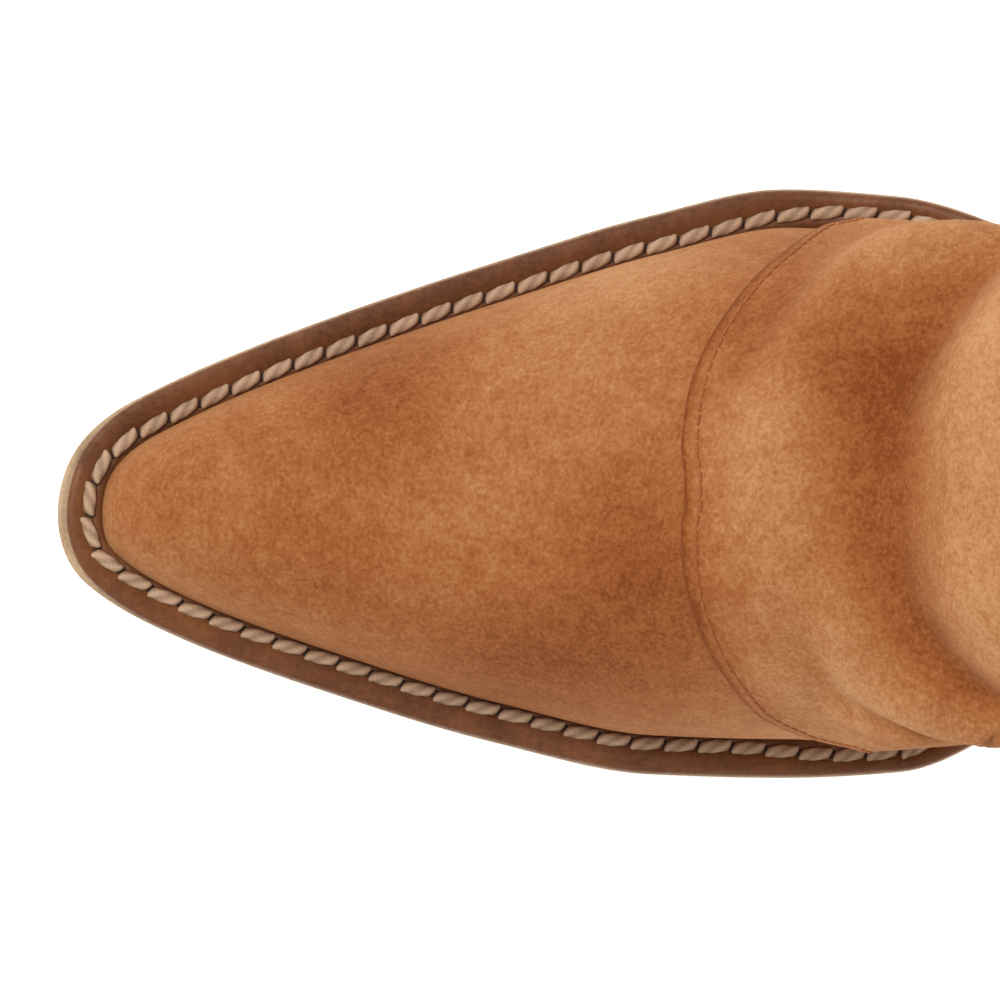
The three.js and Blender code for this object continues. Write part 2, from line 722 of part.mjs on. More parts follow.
function vampSeamThread() {
  const half = seamThread.width / 2;
  const end = seamThread.reach * lengthToRun(runToLength(seamEndRun) + seamThread.fromEdge);
  const pointAt = (v) => upperPoint(v, seamLevel(v, seamThread.fromEdge));
  return bar(
    span(-end, end, 64).map((v) => {
      const lift = seamThread.endLift * smooth(end - 0.08, end - 0.03, Math.abs(v));
      const base = panelOutside + seamThread.clearance + lift;
      const top = base + seamThread.height;
      const here = pointAt(v);
      const along = pointAt(v + 1e-3).sub(pointAt(v - 1e-3)).normalize();
      const frame = surfaceFrame(foldedPoint, v, seamLevel(v, seamThread.fromEdge));
      const across = new THREE.Vector3().crossVectors(frame.normal, along).normalize();
      return [[-half, base], [half, base], [half, top], [-half, top]].map(([sideways, depth]) =>
        here.clone().addScaledVector(across, sideways).addScaledVector(frame.normal, depth));
    }),
  );
}

// ---- Sole parts ---------------------------------------------------------------------------------
const onSole = ([x, y], rise) => new THREE.Vector3(x, y, undersideHeight(y) + rise);

/** The stations between two runs, with the two runs themselves. */
const soleRuns = (from, to) => [
  from,
  ...stations.filter((run) => run > from + 0.008 && run < to - 0.008),
  to,
];

/** A layer that follows the sole's curve, from one side to the other, between two rises. */
function soleLayer({ from = 0, to = 1, inset, low, high, across = 2 }) {
  const insetAt = (run) => (typeof inset === "function" ? inset(run) : inset);
  const riseAt = (rise, run) => (typeof rise === "function" ? rise(run) : rise);
  const grid = (rise) =>
    soleRuns(from, to).map((run) => {
      const inner = edgePoint(run, insetAt(run));
      const outer = edgePoint(-run, insetAt(run));
      return span(0, 1, across).map((t) =>
        onSole([mix(inner[0], outer[0], t), mix(inner[1], outer[1], t)], riseAt(rise, run)));
    });
  return sheet(grid(high), grid(low));
}

/** A band round the edge of the sole, from one inset to another, over columns of v. */
function soleBand({ columns, outerInset, innerInset, low, high }) {
  const grid = (rise) =>
    columns.map((v) => {
      const run = sideAndRun(v)[1];
      return [outerInset(run), innerInset(run)].map((inset) => onSole(edgePoint(v, inset), rise));
    });
  return sheet(grid(high), grid(low));
}

const weltLow = featherRise;
const weltHigh = weltLow + weltThickness;
const weltEnd = heelBreastRun - 0.004;
const weltGap = 0.6; // between the welt and the curved wall of the upper
function welt() {
  return soleBand({
    columns: bothSides(soleRuns(0, weltEnd)), outerInset: () => 0,
    innerInset: (run) => weltInset(run) - weltGap - outsideLayers(run), low: weltLow, high: weltHigh,
  });
}
function heelRand() {
  return soleBand({
    columns: roundHeel(soleRuns(heelBreastRun, 1)), outerInset: () => 0,
    innerInset: (run) => weltInset(run) - weltGap - outsideLayers(run), low: weltLow, high: weltHigh - 0.7,
  });
}
/** What stands outside the vamp's face at the welt: nothing at the toe, the panel, then the counter cover. */
const outsideLayers = (run) => {
  if (run < seamEndRun - 0.03) return 0;
  if (run > heelBreastRun + 0.01) return coverOutside;
  return Math.abs(run - sideSeamRun) < strapHalfRun + 0.01 ? panelInside + piping.height : panelOutside;
};

/** The lockstitch that shows on the welt: one thread that dips between stitches. */
function weltStitching() {
  const columns = [];
  const half = stitch.width / 2;
  let v = -stitch.toHeel;
  while (v < stitch.toHeel) {
    columns.push(v);
    const here = edgePoint(v, stitch.edgeDistance);
    const next = edgePoint(v + 1e-3, stitch.edgeDistance);
    v += (1e-3 * stitch.pitch) / 2 / Math.hypot(next[0] - here[0], next[1] - here[1]);
  }
  const base = weltHigh + 0.5;
  return bar(
    columns.map((at, i) => {
      const dip = i % 2 === 0;
      const width = dip ? 0.35 * half : half;
      const top = base + (dip ? 0.35 : 1) * stitch.height;
      const section = [[width, base], [-width, base], [0, top]];
      const inset = stitchInset(sideAndRun(at)[1]);
      return section.map(([aside, rise]) => onSole(edgePoint(at, inset + aside), rise)).reverse();
    }),
  );
}
const stitchInset = (run) => Math.min(stitch.edgeDistance, weltInset(run) - outsideLayers(run) - 1.7);

const outsole = () => soleLayer({ inset: 0, low: 0, high: outsoleThickness, across: 3 });
const insoleBoard = () => soleLayer({ inset: insoleInset, low: insoleRise, high: insoleRise + insole });
const padShare = (run) => smooth(0.66, 0.76, run);
const sockLift = (run) => sockRise + (padThickness + FIT) * padShare(run);
const sockLiner = () =>
  soleLayer({ inset: (run) => insoleInset(run) + 0.7, low: sockLift, high: (run) => sockLift(run) + sock });
const heelPad = () =>
  soleLayer({ from: 0.72, inset: (run) => insoleInset(run) + 1, low: sockRise, high: (run) => sockLift(run) - FIT });

/** The steel strip in the waist, or the slot for it when it is grown by a clearance. */
function shankStrip(grow = 0) {
  const half = shank.width / 2 + grow;
  const runs = soleRuns(shank.from, shank.to);
  const middle = (run) => (edgePoint(run)[0] + edgePoint(-run)[0]) / 2;
  const low = featherRise + (cork - shank.thickness) / 2 - 4 * grow;
  const high = low + shank.thickness + 8 * grow;
  const grid = (rise) =>
    runs.map((run, i) => {
      const end = i === 0 ? -grow : i === runs.length - 1 ? grow : 0;
      const y = runToLength(run) + end;
      return [half, -half].map((dx) => onSole([middle(run) + dx, y], rise));
    });
  return sheet(grid(high), grid(low));
}
const corkFiller = () =>
  cut(soleLayer({ inset: insoleInset, low: featherRise + 0.1, high: featherRise + cork }), [shankStrip(FIT)]);

// ---- Heel ---------------------------------------------------------------------------------------
const breastAt = runToLength(heelBreastRun);
/** Plan grid of the heel at a height: the heel seat's outline, drawn in towards the floor. */
function heelGrid(height) {
  const down = 1 - Math.min(height / sole.seatFront, 1);
  const seatLength = sole.length - breastAt;
  const shorten = 1 - (heel.backTaper * down) / seatLength;
  const breast = breastAt + heel.breastSlope * down;
  return soleRuns(heelBreastRun, 1).map((run) => {
    const inset = 0.6 + heel.sideTaper * down * smooth(1.05, 0.8, run);
    const inner = edgePoint(run, inset);
    const outer = edgePoint(-run, inset);
    return span(0, 1, 2).map((t) => {
      const y = mix(inner[1], outer[1], t);
      return new THREE.Vector3(mix(inner[0], outer[0], t), breast + (y - breastAt) * shorten, height);
    });
  });
}
const heelSlab = (low, high) => sheet(heelGrid(high), heelGrid(low));

function wedgeLift() {
  const top = heelGrid(sole.seatFront).map((row) =>
    row.map((p) => new THREE.Vector3(p.x, p.y, undersideHeight(p.y) - FIT)));
  return sheet(top, heelGrid(heel.stackTop));
}

const liftPitch = (heel.stackTop - heel.capThickness) / heel.liftCount;
const liftLow = (k) => heel.stackTop - (k + 1) * liftPitch;

/** A nail with its point up or down: a round shank and a flat head, grown all round by a clearance. */
function nail({ radius, headRadius, headThickness, length }, at, pointUp, grow = 0, recess = 0) {
  const profile = [
    [0, -recess], [headRadius + grow, -recess], [headRadius + grow, headThickness + grow],
    [radius + grow, headThickness + grow], [radius + grow, length - 2 + grow], [0, length + grow],
  ];
  const geometry = new THREE.LatheGeometry(profile.map(([r, z]) => new THREE.Vector2(r, z)), 8);
  geometry.rotateX(Math.PI / 2);
  if (!pointUp) geometry.rotateX(Math.PI);
  geometry.translate(at.x, at.y, at.z);
  return geometry;
}

const seatCentreX = sole.tipInward + (sole.heelInner - sole.heelOuter) / 2;
/** Places on a horseshoe round the heel, each at an angle from straight back. */
const horseshoe = (radiusX, radiusY, centreY) =>
  span(-1.9, 1.9, 4).map((a) => [seatCentreX + radiusX * Math.sin(a), centreY + radiusY * Math.cos(a)]);
const seatNailPlaces = horseshoe(13, 14, breastAt + 33);
const capNailPlaces = horseshoe(16, 15, breastAt + 28);
const seatNailTop = (y) => undersideHeight(y) + insoleRise + insole - 0.1;
const seatNails = (grow = 0) =>
  seatNailPlaces.map(([x, y]) =>
    nail(seatNail, new THREE.Vector3(x, y, seatNailTop(y)), false, grow, grow ? 1 : 0));
const capNails = (grow = 0) =>
  capNailPlaces.map(([x, y]) =>
    nail(capNail, new THREE.Vector3(x, y, capNail.recess), true, grow, grow ? 1 : 0));

// ---- Materials ----------------------------------------------------------------------------------
const material = (color, roughness, metalness = 0) =>
  new THREE.MeshStandardMaterial({ color, roughness, metalness });
const suede = material(0xa96337, 0.95);
const suedeEdge = material(0x9c5930, 0.9);
const liningLeather = material(0xc9a077, 0.7);
const weltLeather = material(0x784c32, 0.6);
const soleLeather = material(0xbe9e7d, 0.6);
const stackedLeather = material(0x7a4d31, 0.5);
const waxedThread = material(0xbe9b7f, 0.6);
const suedeThread = material(0x9a5a30, 0.7);
const stiffener = material(0xd8cdb8, 0.9);
const corkMaterial = material(0xa87a4c, 0.95);
const steel = material(0x9a9ca0, 0.35, 1);
const brass = material(0xb59a55, 0.35, 1);
const rubber = material(0x2a2522, 0.8);
const foam = material(0xd9c9a8, 0.95);

// ---- Assembly -----------------------------------------------------------------------------------
const boot = new THREE.Group();
function add(name, geometry, finish) {
  const mesh = new THREE.Mesh(geometry, finish);
  mesh.name = name;
  boot.add(mesh);
}

add("vamp", vamp(), suede);
add("vamp_lining", vampLining(), liningLeather);
add("toe_puff", toePuff(), stiffener);
add("vamp_seam_thread", vampSeamThread(), suedeThread);
add("shaft_front_panel", shaftPanel(true), suede);
add("shaft_back_panel", shaftPanel(false), suede);
add("shaft_lining_front", shaftLining(true), liningLeather);
add("shaft_lining_back", shaftLining(false), liningLeather);
add("heel_counter_cover", counterCover(), suede);
add("heel_counter_stiffener", counterStiffener(), stiffener);
add("topline_binding", toplineBinding(), suedeEdge);
for (const [name, side] of [["medial", 1], ["lateral", -1]]) {
  add(`side_piping_${name}`, sidePiping(side), suedeEdge);
  add(`pull_strap_${name}_outer_leg`, strapLeg(side, true), suede);
  add(`pull_strap_${name}_inner_leg`, strapLeg(side, false), suede);
  add(`pull_strap_${name}_loop`, strapLoop(side), suede);
}

add("outsole", cut(outsole(), seatNails(FIT)), soleLeather);
add("welt", welt(), weltLeather);
add("heel_rand", heelRand(), weltLeather);
add("welt_stitching", weltStitching(), waxedThread);
add("cork_filler", cut(corkFiller(), seatNails(FIT)), corkMaterial);
add("shank", shankStrip(), steel);
add("insole_board", cut(insoleBoard(), seatNails(FIT)), stackedLeather);
add("heel_pad", heelPad(), foam);
add("sock_liner", sockLiner(), liningLeather);

add("heel_wedge_lift", cut(wedgeLift(), seatNails(FIT)), stackedLeather);
for (let k = 0; k < heel.liftCount; k += 1) {
  const slab = heelSlab(liftLow(k), liftLow(k) + liftPitch - FIT);
  add(`heel_lift_${k + 1}`, cut(slab, [...seatNails(FIT), ...capNails(FIT)]), stackedLeather);
}
add("heel_cap", cut(heelSlab(0, heel.capThickness - FIT), capNails(FIT)), rubber);
seatNails().forEach((geometry, i) => add(`heel_seat_nail_${i + 1}`, geometry, steel));
capNails().forEach((geometry, i) => add(`heel_cap_nail_${i + 1}`, geometry, brass));

// The origin is the middle of the boot's footprint, on the floor.
const box = new THREE.Box3().setFromObject(boot);
boot.position.set(-(box.min.x + box.max.x) / 2, -(box.min.y + box.max.y) / 2, -box.min.z);

export default boot;
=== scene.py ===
"""A suede western boot for the right foot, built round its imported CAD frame.

Lengths inside the shape functions are millimetres, with y measured from the sole's toe tip; make_object()
turns them into the frame's metres. The upper is one surface read by (v, level): v runs round the boot (0 at
the toe, +1/-1 at the heel, + on the inner side) and level runs up it (0 at the welt, 1 ankle, 2 topline).
"""

import json
import math

import bpy
import numpy as np
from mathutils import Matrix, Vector


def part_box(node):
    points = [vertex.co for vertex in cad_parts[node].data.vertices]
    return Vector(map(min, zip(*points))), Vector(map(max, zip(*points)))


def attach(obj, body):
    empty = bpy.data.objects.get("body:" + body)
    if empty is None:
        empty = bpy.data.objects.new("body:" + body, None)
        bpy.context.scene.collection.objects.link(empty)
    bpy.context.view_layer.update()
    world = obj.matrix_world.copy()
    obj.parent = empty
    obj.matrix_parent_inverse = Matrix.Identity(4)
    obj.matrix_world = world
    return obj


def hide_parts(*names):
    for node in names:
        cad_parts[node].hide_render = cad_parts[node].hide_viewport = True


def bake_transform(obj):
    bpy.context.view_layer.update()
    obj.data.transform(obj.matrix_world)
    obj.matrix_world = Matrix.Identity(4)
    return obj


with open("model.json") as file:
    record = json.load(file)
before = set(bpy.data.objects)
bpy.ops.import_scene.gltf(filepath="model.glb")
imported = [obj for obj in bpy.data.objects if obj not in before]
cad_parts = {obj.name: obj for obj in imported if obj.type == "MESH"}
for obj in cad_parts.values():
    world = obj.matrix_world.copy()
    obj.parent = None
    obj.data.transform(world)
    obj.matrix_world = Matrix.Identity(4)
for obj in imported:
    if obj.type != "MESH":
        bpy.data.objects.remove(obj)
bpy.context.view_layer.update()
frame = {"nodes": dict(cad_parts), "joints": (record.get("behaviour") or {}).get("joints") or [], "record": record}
PI = math.pi

# ---- Sizes shared with the CAD part ----------------------------------------------------------
LENGTH = 292.0
TIP_IN = 5.0
SEAT = (37.0, 42.0)
OUTSOLE = 4.2
WELT = 2.7
TOE_WELT, WELT_WIDTH, WAIST_WELT, RAND_WIDTH = 7.4, 6.7, 8.0, 6.2
BREAST_RUN, SIDE_RUN, SEAM_END = 0.69, 0.63, 0.487
FEATHER = OUTSOLE + 0.7
VAMP_LENGTH, SEAM_OVERLAP = 103.0, 9.0
SEAM_FLAT, SEAM_STEEP = 2.4, 0.55
LEATHER, LINING = 1.4, 1.0
PANEL_IN = 0.35
PANEL_OUT = PANEL_IN + LEATHER
COVER_IN = PANEL_OUT + 0.1
COVER_OUT = COVER_IN + LEATHER
LINING_OUT = -0.2
LINING_IN = LINING_OUT - LINING
SHAFT_REACH = 227  # mm up the shaft for one level, near the topline
STRAP_HALF_RUN = 0.027
STITCH_PITCH = 5.6
STACK_TOP, STACK_BOTTOM, LIFTS, CAP_TOP = 33, 6, 5, 5.9


# ---- Small mathematical helpers --------------------------------------------------------------
def smooth(a, b, x):
    """The cubic step 3t^2 - 2t^3, with t the share of the way from a to b."""
    t = np.clip((np.asarray(x, float) - a) / (b - a), 0, 1)
    return t * t * (3 - 2 * t)


def mix(a, b, t):
    return a + (b - a) * t


def bell(x):
    return np.exp(-np.asarray(x) ** 2)


def unit(p):
    return p / np.maximum(np.linalg.norm(p, axis=-1, keepdims=True), 1e-9)


def xyz(x, y, z):
    return np.stack(np.broadcast_arrays(x, y, z), -1)


def curve_through(points):
    """A cubic Hermite curve through the points; each tangent is the harmonic mean of the slopes beside it."""
    x, y = np.array(points, float).T
    slope = np.diff(y) / np.diff(x)
    before, after = np.r_[slope[0], slope], np.r_[slope, slope[-1]]
    product = before * after
    tangent = np.where(product > 0, 2 * product / np.where(product > 0, before + after, 1), 0)

    def at(q):
        q = np.asarray(q, float)
        i = np.clip(np.searchsorted(x, q) - 1, 0, len(slope) - 1)
        step = x[i + 1] - x[i]
        t = np.clip((q - x[i]) / step, 0, 1)
        u = 1 - t
        ends = y[i] * (1 + 2 * t) * u * u + y[i + 1] * t * t * (3 - 2 * t)
        return ends + step * (tangent[i] * t * u * u - tangent[i + 1] * t * t * u)

    return at


# ---- Sole line -------------------------------------------------------------------------------
def run_to_length(run):
    """Length along the sole = L (1 - cos(pi run)) / 2."""
    return LENGTH * (1 - np.cos(PI * np.asarray(run))) / 2


def length_to_run(s):
    return np.arccos(1 - 2 * np.asarray(s) / LENGTH) / PI


def half_width(forepart, ball, waist, seat, back):
    """Half width of the sole from the tip's line against run; forepart gives shares of the ball's."""
    toe = [(run, share * ball) for run, share in zip((0.061, 0.11, 0.161, 0.25, 0.333, 0.394), forepart)]
    rest = [(0.445, ball), (0.487, 0.975 * ball), (0.58, waist), (0.72, seat), (0.79, seat)]
    return curve_through([(0, 0)] + toe + rest + [(0.9, mix(back, seat, 0.7)), (1, back)])


inner_half = half_width((0.207, 0.327, 0.446, 0.659, 0.868, 0.986), 44, 22, 26, -6)
outer_half = half_width((0.189, 0.305, 0.402, 0.589, 0.778, 0.918), 54.5, 39, 37, 6)


def side_and_run(v):
    v = np.asarray(v, float)
    wrapped = np.where(v > 1, v - 2, np.where(v < -1, v + 2, v))
    return np.where(wrapped < 0, -1.0, 1.0), np.abs(wrapped)


def edge_point(v, inset=0.0):
    """Plan point of the sole edge at v, moved in by inset square to the edge, smoothed round the toe."""
    side, run = side_and_run(v)

    def at(r):
        half = np.where(side > 0, inner_half(np.abs(r)), outer_half(np.abs(r)))
        return TIP_IN + side * np.sign(r) * half, run_to_length(r)

    step = mix(0.012, 0.001, smooth(0.2, 0.5, run))
    (x0, y0), (x1, y1), (x, y) = at(run - step), at(np.minimum(run + step, 1)), at(run)
    reach = np.hypot(x1 - x0, y1 - y0)
    back = run > 1 - step
    nx, ny = np.where(back, 0, -side * (y1 - y0) / reach), np.where(back, -1, side * (x1 - x0) / reach)
    return x + nx * inset, y + ny * inset


underside = curve_through([(0, 9), (36.9, 3.06), (61.5, 0.81), (82, 0), (122, 0), (144, 3.33), (166, 11.84),
                           (196, 27.75), (float(run_to_length(BREAST_RUN)), SEAT[0]), (LENGTH, SEAT[1])])
welt_inset = curve_through([
    (0, TOE_WELT), (0.2, WELT_WIDTH), (SEAM_END, WELT_WIDTH), (SEAM_END + 0.05, WAIST_WELT),
    (BREAST_RUN - 0.08, WAIST_WELT), (BREAST_RUN, RAND_WIDTH), (1, RAND_WIDTH)])


def feather_point(v):
    return edge_point(v, welt_inset(side_and_run(v)[1]))


# ---- Upper surface ---------------------------------------------------------------------------
leg_angle = curve_through([(0, 0), (0.137, 0.08), (0.333, 0.28), (0.487, 0.75), (SIDE_RUN, PI / 2),
                           (0.8, 2.32), (1, PI)])
# level, centre, front half, back half, side half, height, front rise, back rise
RINGS = [(1.2, 208, 42, 60, 44, 116, 12, -8),
         (1.45, 212, 48, 61.6, 46.5, 170.08, 4, -6),
         (1.7, 214, 57.6, 64.8, 51, 222.47, -6, -8),
         (2.0, 216, 66, 68, 54, 285, -18, -22)]


def ring_point(ring, v):
    """An oval round the leg whose height dips or rises with the square of the cosine front and back."""
    _, centre, front, back, side_half, height, front_rise, back_rise = ring
    side, run = side_and_run(v)
    angle = leg_angle(run)
    forward = np.cos(angle)
    half = np.where(forward > 0, front, back)
    rise = np.where(forward > 0, front_rise, back_rise)
    return xyz(side * side_half * np.sin(angle), centre - half * forward, height + rise * forward ** 2)


ridge_height = curve_through([
    (0, float(underside(TOE_WELT)) + FEATHER), (2, 24), (3.2, 30), (5.8, 37), (7.3, 43),
    (8.6, 51), (9.8, 62), (11.2, 79), (12.3, 101), (13.3, 126)])
ridge_inward = curve_through([(0, TIP_IN), (60, 5), (110, 4), (180, 0)])
feather_table = {side: feather_point(side * np.linspace(0, 1, 601)) for side in (1, -1)}


def foot_height(x, y):
    """Across the foot, a superellipse arch of exponent 2.15 from welt to welt, under the ridge line."""
    base = underside(y) + FEATHER
    top = ridge_height(np.sqrt(np.maximum(y - TOE_WELT, 0)))
    middle = ridge_inward(y)
    xs = {side: np.interp(y, table[1], table[0]) for side, table in feather_table.items()}
    feather = np.where(x > middle, xs[1], xs[-1])
    near, far = np.abs(feather - middle), 49 * smooth(104, 140, y)
    soften = 14 * smooth(104, 120, y) + 1e-6
    half = np.maximum(near, far) + np.maximum(soften - np.abs(near - far), 0) ** 2 / (4 * soften)
    share = np.clip(np.abs(x - middle) / np.maximum(half, 1e-6), 0, 1)
    return base + (top - base) * (1 - share ** 2.15) ** (1 / 2.15)


def foot_point(v, level):
    """Level 0 to 1: over the toes it lies on foot_height, round the heel it is a curved wall."""
    fx, fy = feather_point(v)
    ankle = ring_point(RINGS[0], v)
    share = 0.92 * (1 - np.cos(PI / 2 * level))
    x, y = mix(fx, ankle[..., 0], share), mix(fy, ankle[..., 1], share)
    base = underside(fy) + FEATHER
    wall_level = 0.55 * smooth(116, 140, fy)
    up_wall = np.clip(level / np.maximum(wall_level, 1e-6), 0, 1)
    rise = np.where(level < wall_level, np.sin(PI / 2 * up_wall), 1)
    toes = xyz(x, y, mix(base, foot_height(x, y), rise))
    lean = smooth(0, 1, level) * 0.86
    ox, oy = edge_point(v)
    swell = 5.5 * np.sin(PI * level) ** 2 / np.maximum(np.hypot(ox - fx, oy - fy), 1e-6)
    wall_x = mix(fx, ankle[..., 0], lean) + (ox - fx) * swell
    wall_y = mix(fy, ankle[..., 1], lean) + (oy - fy) * swell
    wall = xyz(wall_x, wall_y, mix(base, 94, level))
    return mix(toes, wall, smooth(140, 200, fy)[..., None])


def plain_point(v, level):
    """Above level 1, a cubic Hermite curve through ankle and rings, leaving the foot along its own slope."""
    v, level = np.broadcast_arrays(np.asarray(v, float), np.asarray(level, float))
    low = foot_point(v, np.minimum(level, 1))
    step = 1e-3
    start = foot_point(v, np.ones_like(v))
    knots = [start] + [ring_point(ring, v) for ring in RINGS]
    at = np.array([1.0] + [ring[0] for ring in RINGS])
    slopes = [(start - foot_point(v, np.full_like(v, 1 - step))) / step]
    for i in range(1, 5):
        j = min(i + 1, 4)
        slopes.append((knots[j] - knots[i - 1]) / (at[j] - at[i - 1]))
    i = np.clip(np.searchsorted(at, level) - 1, 0, 3)

    def pick(rows, k):
        return np.take_along_axis(np.stack(rows), k[None, ..., None], 0)[0]

    width = (at[i + 1] - at[i])[..., None]
    t = np.clip((level - at[i]) / (at[i + 1] - at[i]), 0, 1)[..., None]
    u = 1 - t
    high = (pick(knots, i) * (1 + 2 * t) * u * u + pick(slopes, i) * width * t * u * u
            + pick(knots, i + 1) * t * t * (3 - 2 * t) - pick(slopes, i + 1) * width * t * t * u)
    return np.where((level > 1)[..., None], high, low)


def seam_level(v, extra=0.0):
    """Level of the shaft panel's cut edge: apex (1 - share^flat)^steep, share of the way round to its end."""
    reach = 0.92 * (208 - 42 - WELT_WIDTH)
    apex = 2 / PI * np.arccos(1 - (VAMP_LENGTH + extra - WELT_WIDTH) / reach)
    end = length_to_run(run_to_length(SEAM_END) + extra)
    share = np.minimum(side_and_run(v)[1] / end, 1)
    return apex * (1 - share ** SEAM_FLAT) ** SEAM_STEEP


# Creases round the instep: front level, reach inner and outer, height inner and outer, width
INSTEP_FOLDS = [(0.835, 0.6, 0.56, 3.4, 3.4, 0.042), (0.905, 0.66, 0.66, -5.0, -5.0, 0.045),
                (0.985, 0.8, 0.8, 3.2, 3.2, 0.06), (0.85, 0.552, 0.552, -2.6, 0.0, 0.03),
                (0.79, 0.53, 0.53, 1.4, 0.0, 0.03)]
# Folds round the leg: front level, side level, height, front width, side width
LEG_FOLDS = [(1.08, 1.12, -3, 0.05, 0.08), (1.2, 1.26, 3, 0.06, 0.07),
             (1.33, 1.38, -3, 0.06, 0.06), (1.45, 1.5, 2, 0.06, 0.06)]


def fold_height(v, level):
    """Soft bell-shaped folds. An instep crest lies at front (1 - (run / reach)^2.6)^0.55, like the seam."""
    run = side_and_run(v)[1]
    inner = smooth(0, 0.3, v) * (v < 1)
    total = 0.0
    for front, reach_in, reach_out, height_in, height_out, width in INSTEP_FOLDS:
        crest = front * (1 - np.minimum(run / mix(reach_out, reach_in, inner), 1) ** 2.6) ** 0.55
        spread = width * mix(1, 2, smooth(0.3, 0.55, run))
        total = total + mix(height_out, height_in, inner) * bell((level - crest) / spread)
    total = total * smooth(0.0, 0.17, level - 0.72 + 1.6 * run ** 2) * (1 - smooth(0.38, 0.58, run))
    to_side = smooth(0.1, 0.52, run)
    for front, side, height, narrow, wide in LEG_FOLDS:
        total = total + height * bell((level - mix(front, side, to_side)) / mix(narrow, wide, to_side))
    return total * (1 - smooth(0.6, 0.85, run) * smooth(1.25, 0.95, level))


def surface(v, level):
    """The folded surface: point, outward normal, direction round the boot. Folds add to the plain surface."""
    v, level = np.broadcast_arrays(np.asarray(v, float), np.asarray(level, float))
    step = 2e-3
    low, high = np.maximum(level - step, 0), np.minimum(level + step, 2)
    round_by = plain_point(v + step, level) - plain_point(v - step, level)
    up_by = plain_point(v, high) - plain_point(v, low)
    normal = unit(np.cross(round_by, up_by))
    round_by = round_by + normal * (fold_height(v + step, level) - fold_height(v - step, level))[..., None]
    up_by = up_by + normal * (fold_height(v, high) - fold_height(v, low))[..., None]
    at = plain_point(v, level) + normal * fold_height(v, level)[..., None]
    return at, unit(np.cross(round_by, up_by)), unit(round_by)


def upper_points(v, level, *depths, sideways=0.0):
    """Points of the upper at each depth outside (+) or inside (-) the vamp's face, standing on the sole."""
    v, level = np.broadcast_arrays(np.asarray(v, float), np.asarray(level, float))
    at, normal, along = surface(v, level)
    out, edge = edge_point(v, -1.0), edge_point(v)
    flat = xyz(out[0] - edge[0], out[1] - edge[1], 0.0)
    normal = unit(mix(normal, flat, smooth(0.06, 0.0, level)[..., None]))
    seat = smooth(0.004, 0.0, level)
    made = []
    for depth in depths:
        p = at + normal * np.asarray(depth, float)[..., None] + along * np.asarray(sideways, float)[..., None]
        p[..., 2] = mix(p[..., 2], underside(p[..., 1]) + FEATHER, seat)
        made.append(p)
    return made


def upper_point(v, level, depth=0.0, sideways=0.0):
    given = (np.asarray(a, float) for a in (v, level, depth, sideways))
    v, level, depth, sideways = np.broadcast_arrays(*given)
    return upper_points(v, level, depth, sideways=sideways)[0]


# ---- Making meshes ---------------------------------------------------------------------------
def make_object(name, points, faces, material, attributes=None):
    mesh = bpy.data.meshes.new(name)
    where = (np.asarray(points, float) - [0, LENGTH / 2, 0]) / 1000
    mesh.from_pydata(where.tolist(), [], faces)
    for key, values in (attributes or {}).items():
        layer_data = mesh.attributes.new(key, "FLOAT", "POINT").data
        layer_data.foreach_set("value", np.asarray(values, np.float32).ravel())
    mesh.polygons.foreach_set("use_smooth", np.ones(len(faces), bool))
    mesh.materials.append(material)
    piece = bpy.data.objects.new(name, mesh)
    bpy.context.scene.collection.objects.link(piece)
    return piece


def quads(rows, columns, wrap_rows=False, wrap_columns=False):
    """Faces of a grid of points listed row by row, facing the side from which rows then columns turn left."""
    r = np.arange(rows if wrap_rows else rows - 1)
    c = np.arange(columns if wrap_columns else columns - 1)
    a, b = np.meshgrid(r, c, indexing="ij")
    a2, b2 = (a + 1) % rows, (b + 1) % columns
    ids = [p * columns + q for p, q in ((a, b), (a2, b), (a2, b2), (a, b2))]
    return np.stack(ids, -1).reshape(-1, 4).tolist()


def tube(name, loops, material, closed=False, attributes=None):
    """A closed skin through loops of the same number of points; open ends are closed by a face each."""
    count, around = loops.shape[:2]
    faces = quads(count, around, closed, True)
    if not closed:
        first = list(range(around))
        last = list(range((count - 1) * around, count * around))
        faces += [first, last[::-1]]
    piece = make_object(name, loops.reshape(-1, 3), faces, material, attributes)
    return fix_outward(piece)


def fix_outward(piece):
    """Turns the faces of a closed piece outward, by the sign of its enclosed volume."""
    mesh = piece.data
    mesh.calc_loop_triangles()
    co = np.zeros(len(mesh.vertices) * 3)
    mesh.vertices.foreach_get("co", co)
    tri = np.zeros(len(mesh.loop_triangles) * 3, np.int32)
    mesh.loop_triangles.foreach_get("vertices", tri)
    a, b, c = np.moveaxis(co.reshape(-1, 3)[tri.reshape(-1, 3)], 1, 0)
    if np.einsum("ij,ij->", a, np.cross(b, c)) < 0:
        mesh.flip_normals()
    return piece


def rim(outer, inner, before, bulge=0.7, steps=4):
    """A rounded rim from the outer edge to the inner one: a half ellipse bulging away from the sheet."""
    out = unit(outer - before)[:, None]
    middle, half = ((outer + inner) / 2)[:, None], ((outer - inner) / 2)[:, None]
    angle = np.linspace(0, PI, steps + 2)[1:-1][None, :, None]
    reach = np.linalg.norm(half, axis=-1, keepdims=True) * bulge
    return middle + half * np.cos(angle) + out * reach * np.sin(angle)


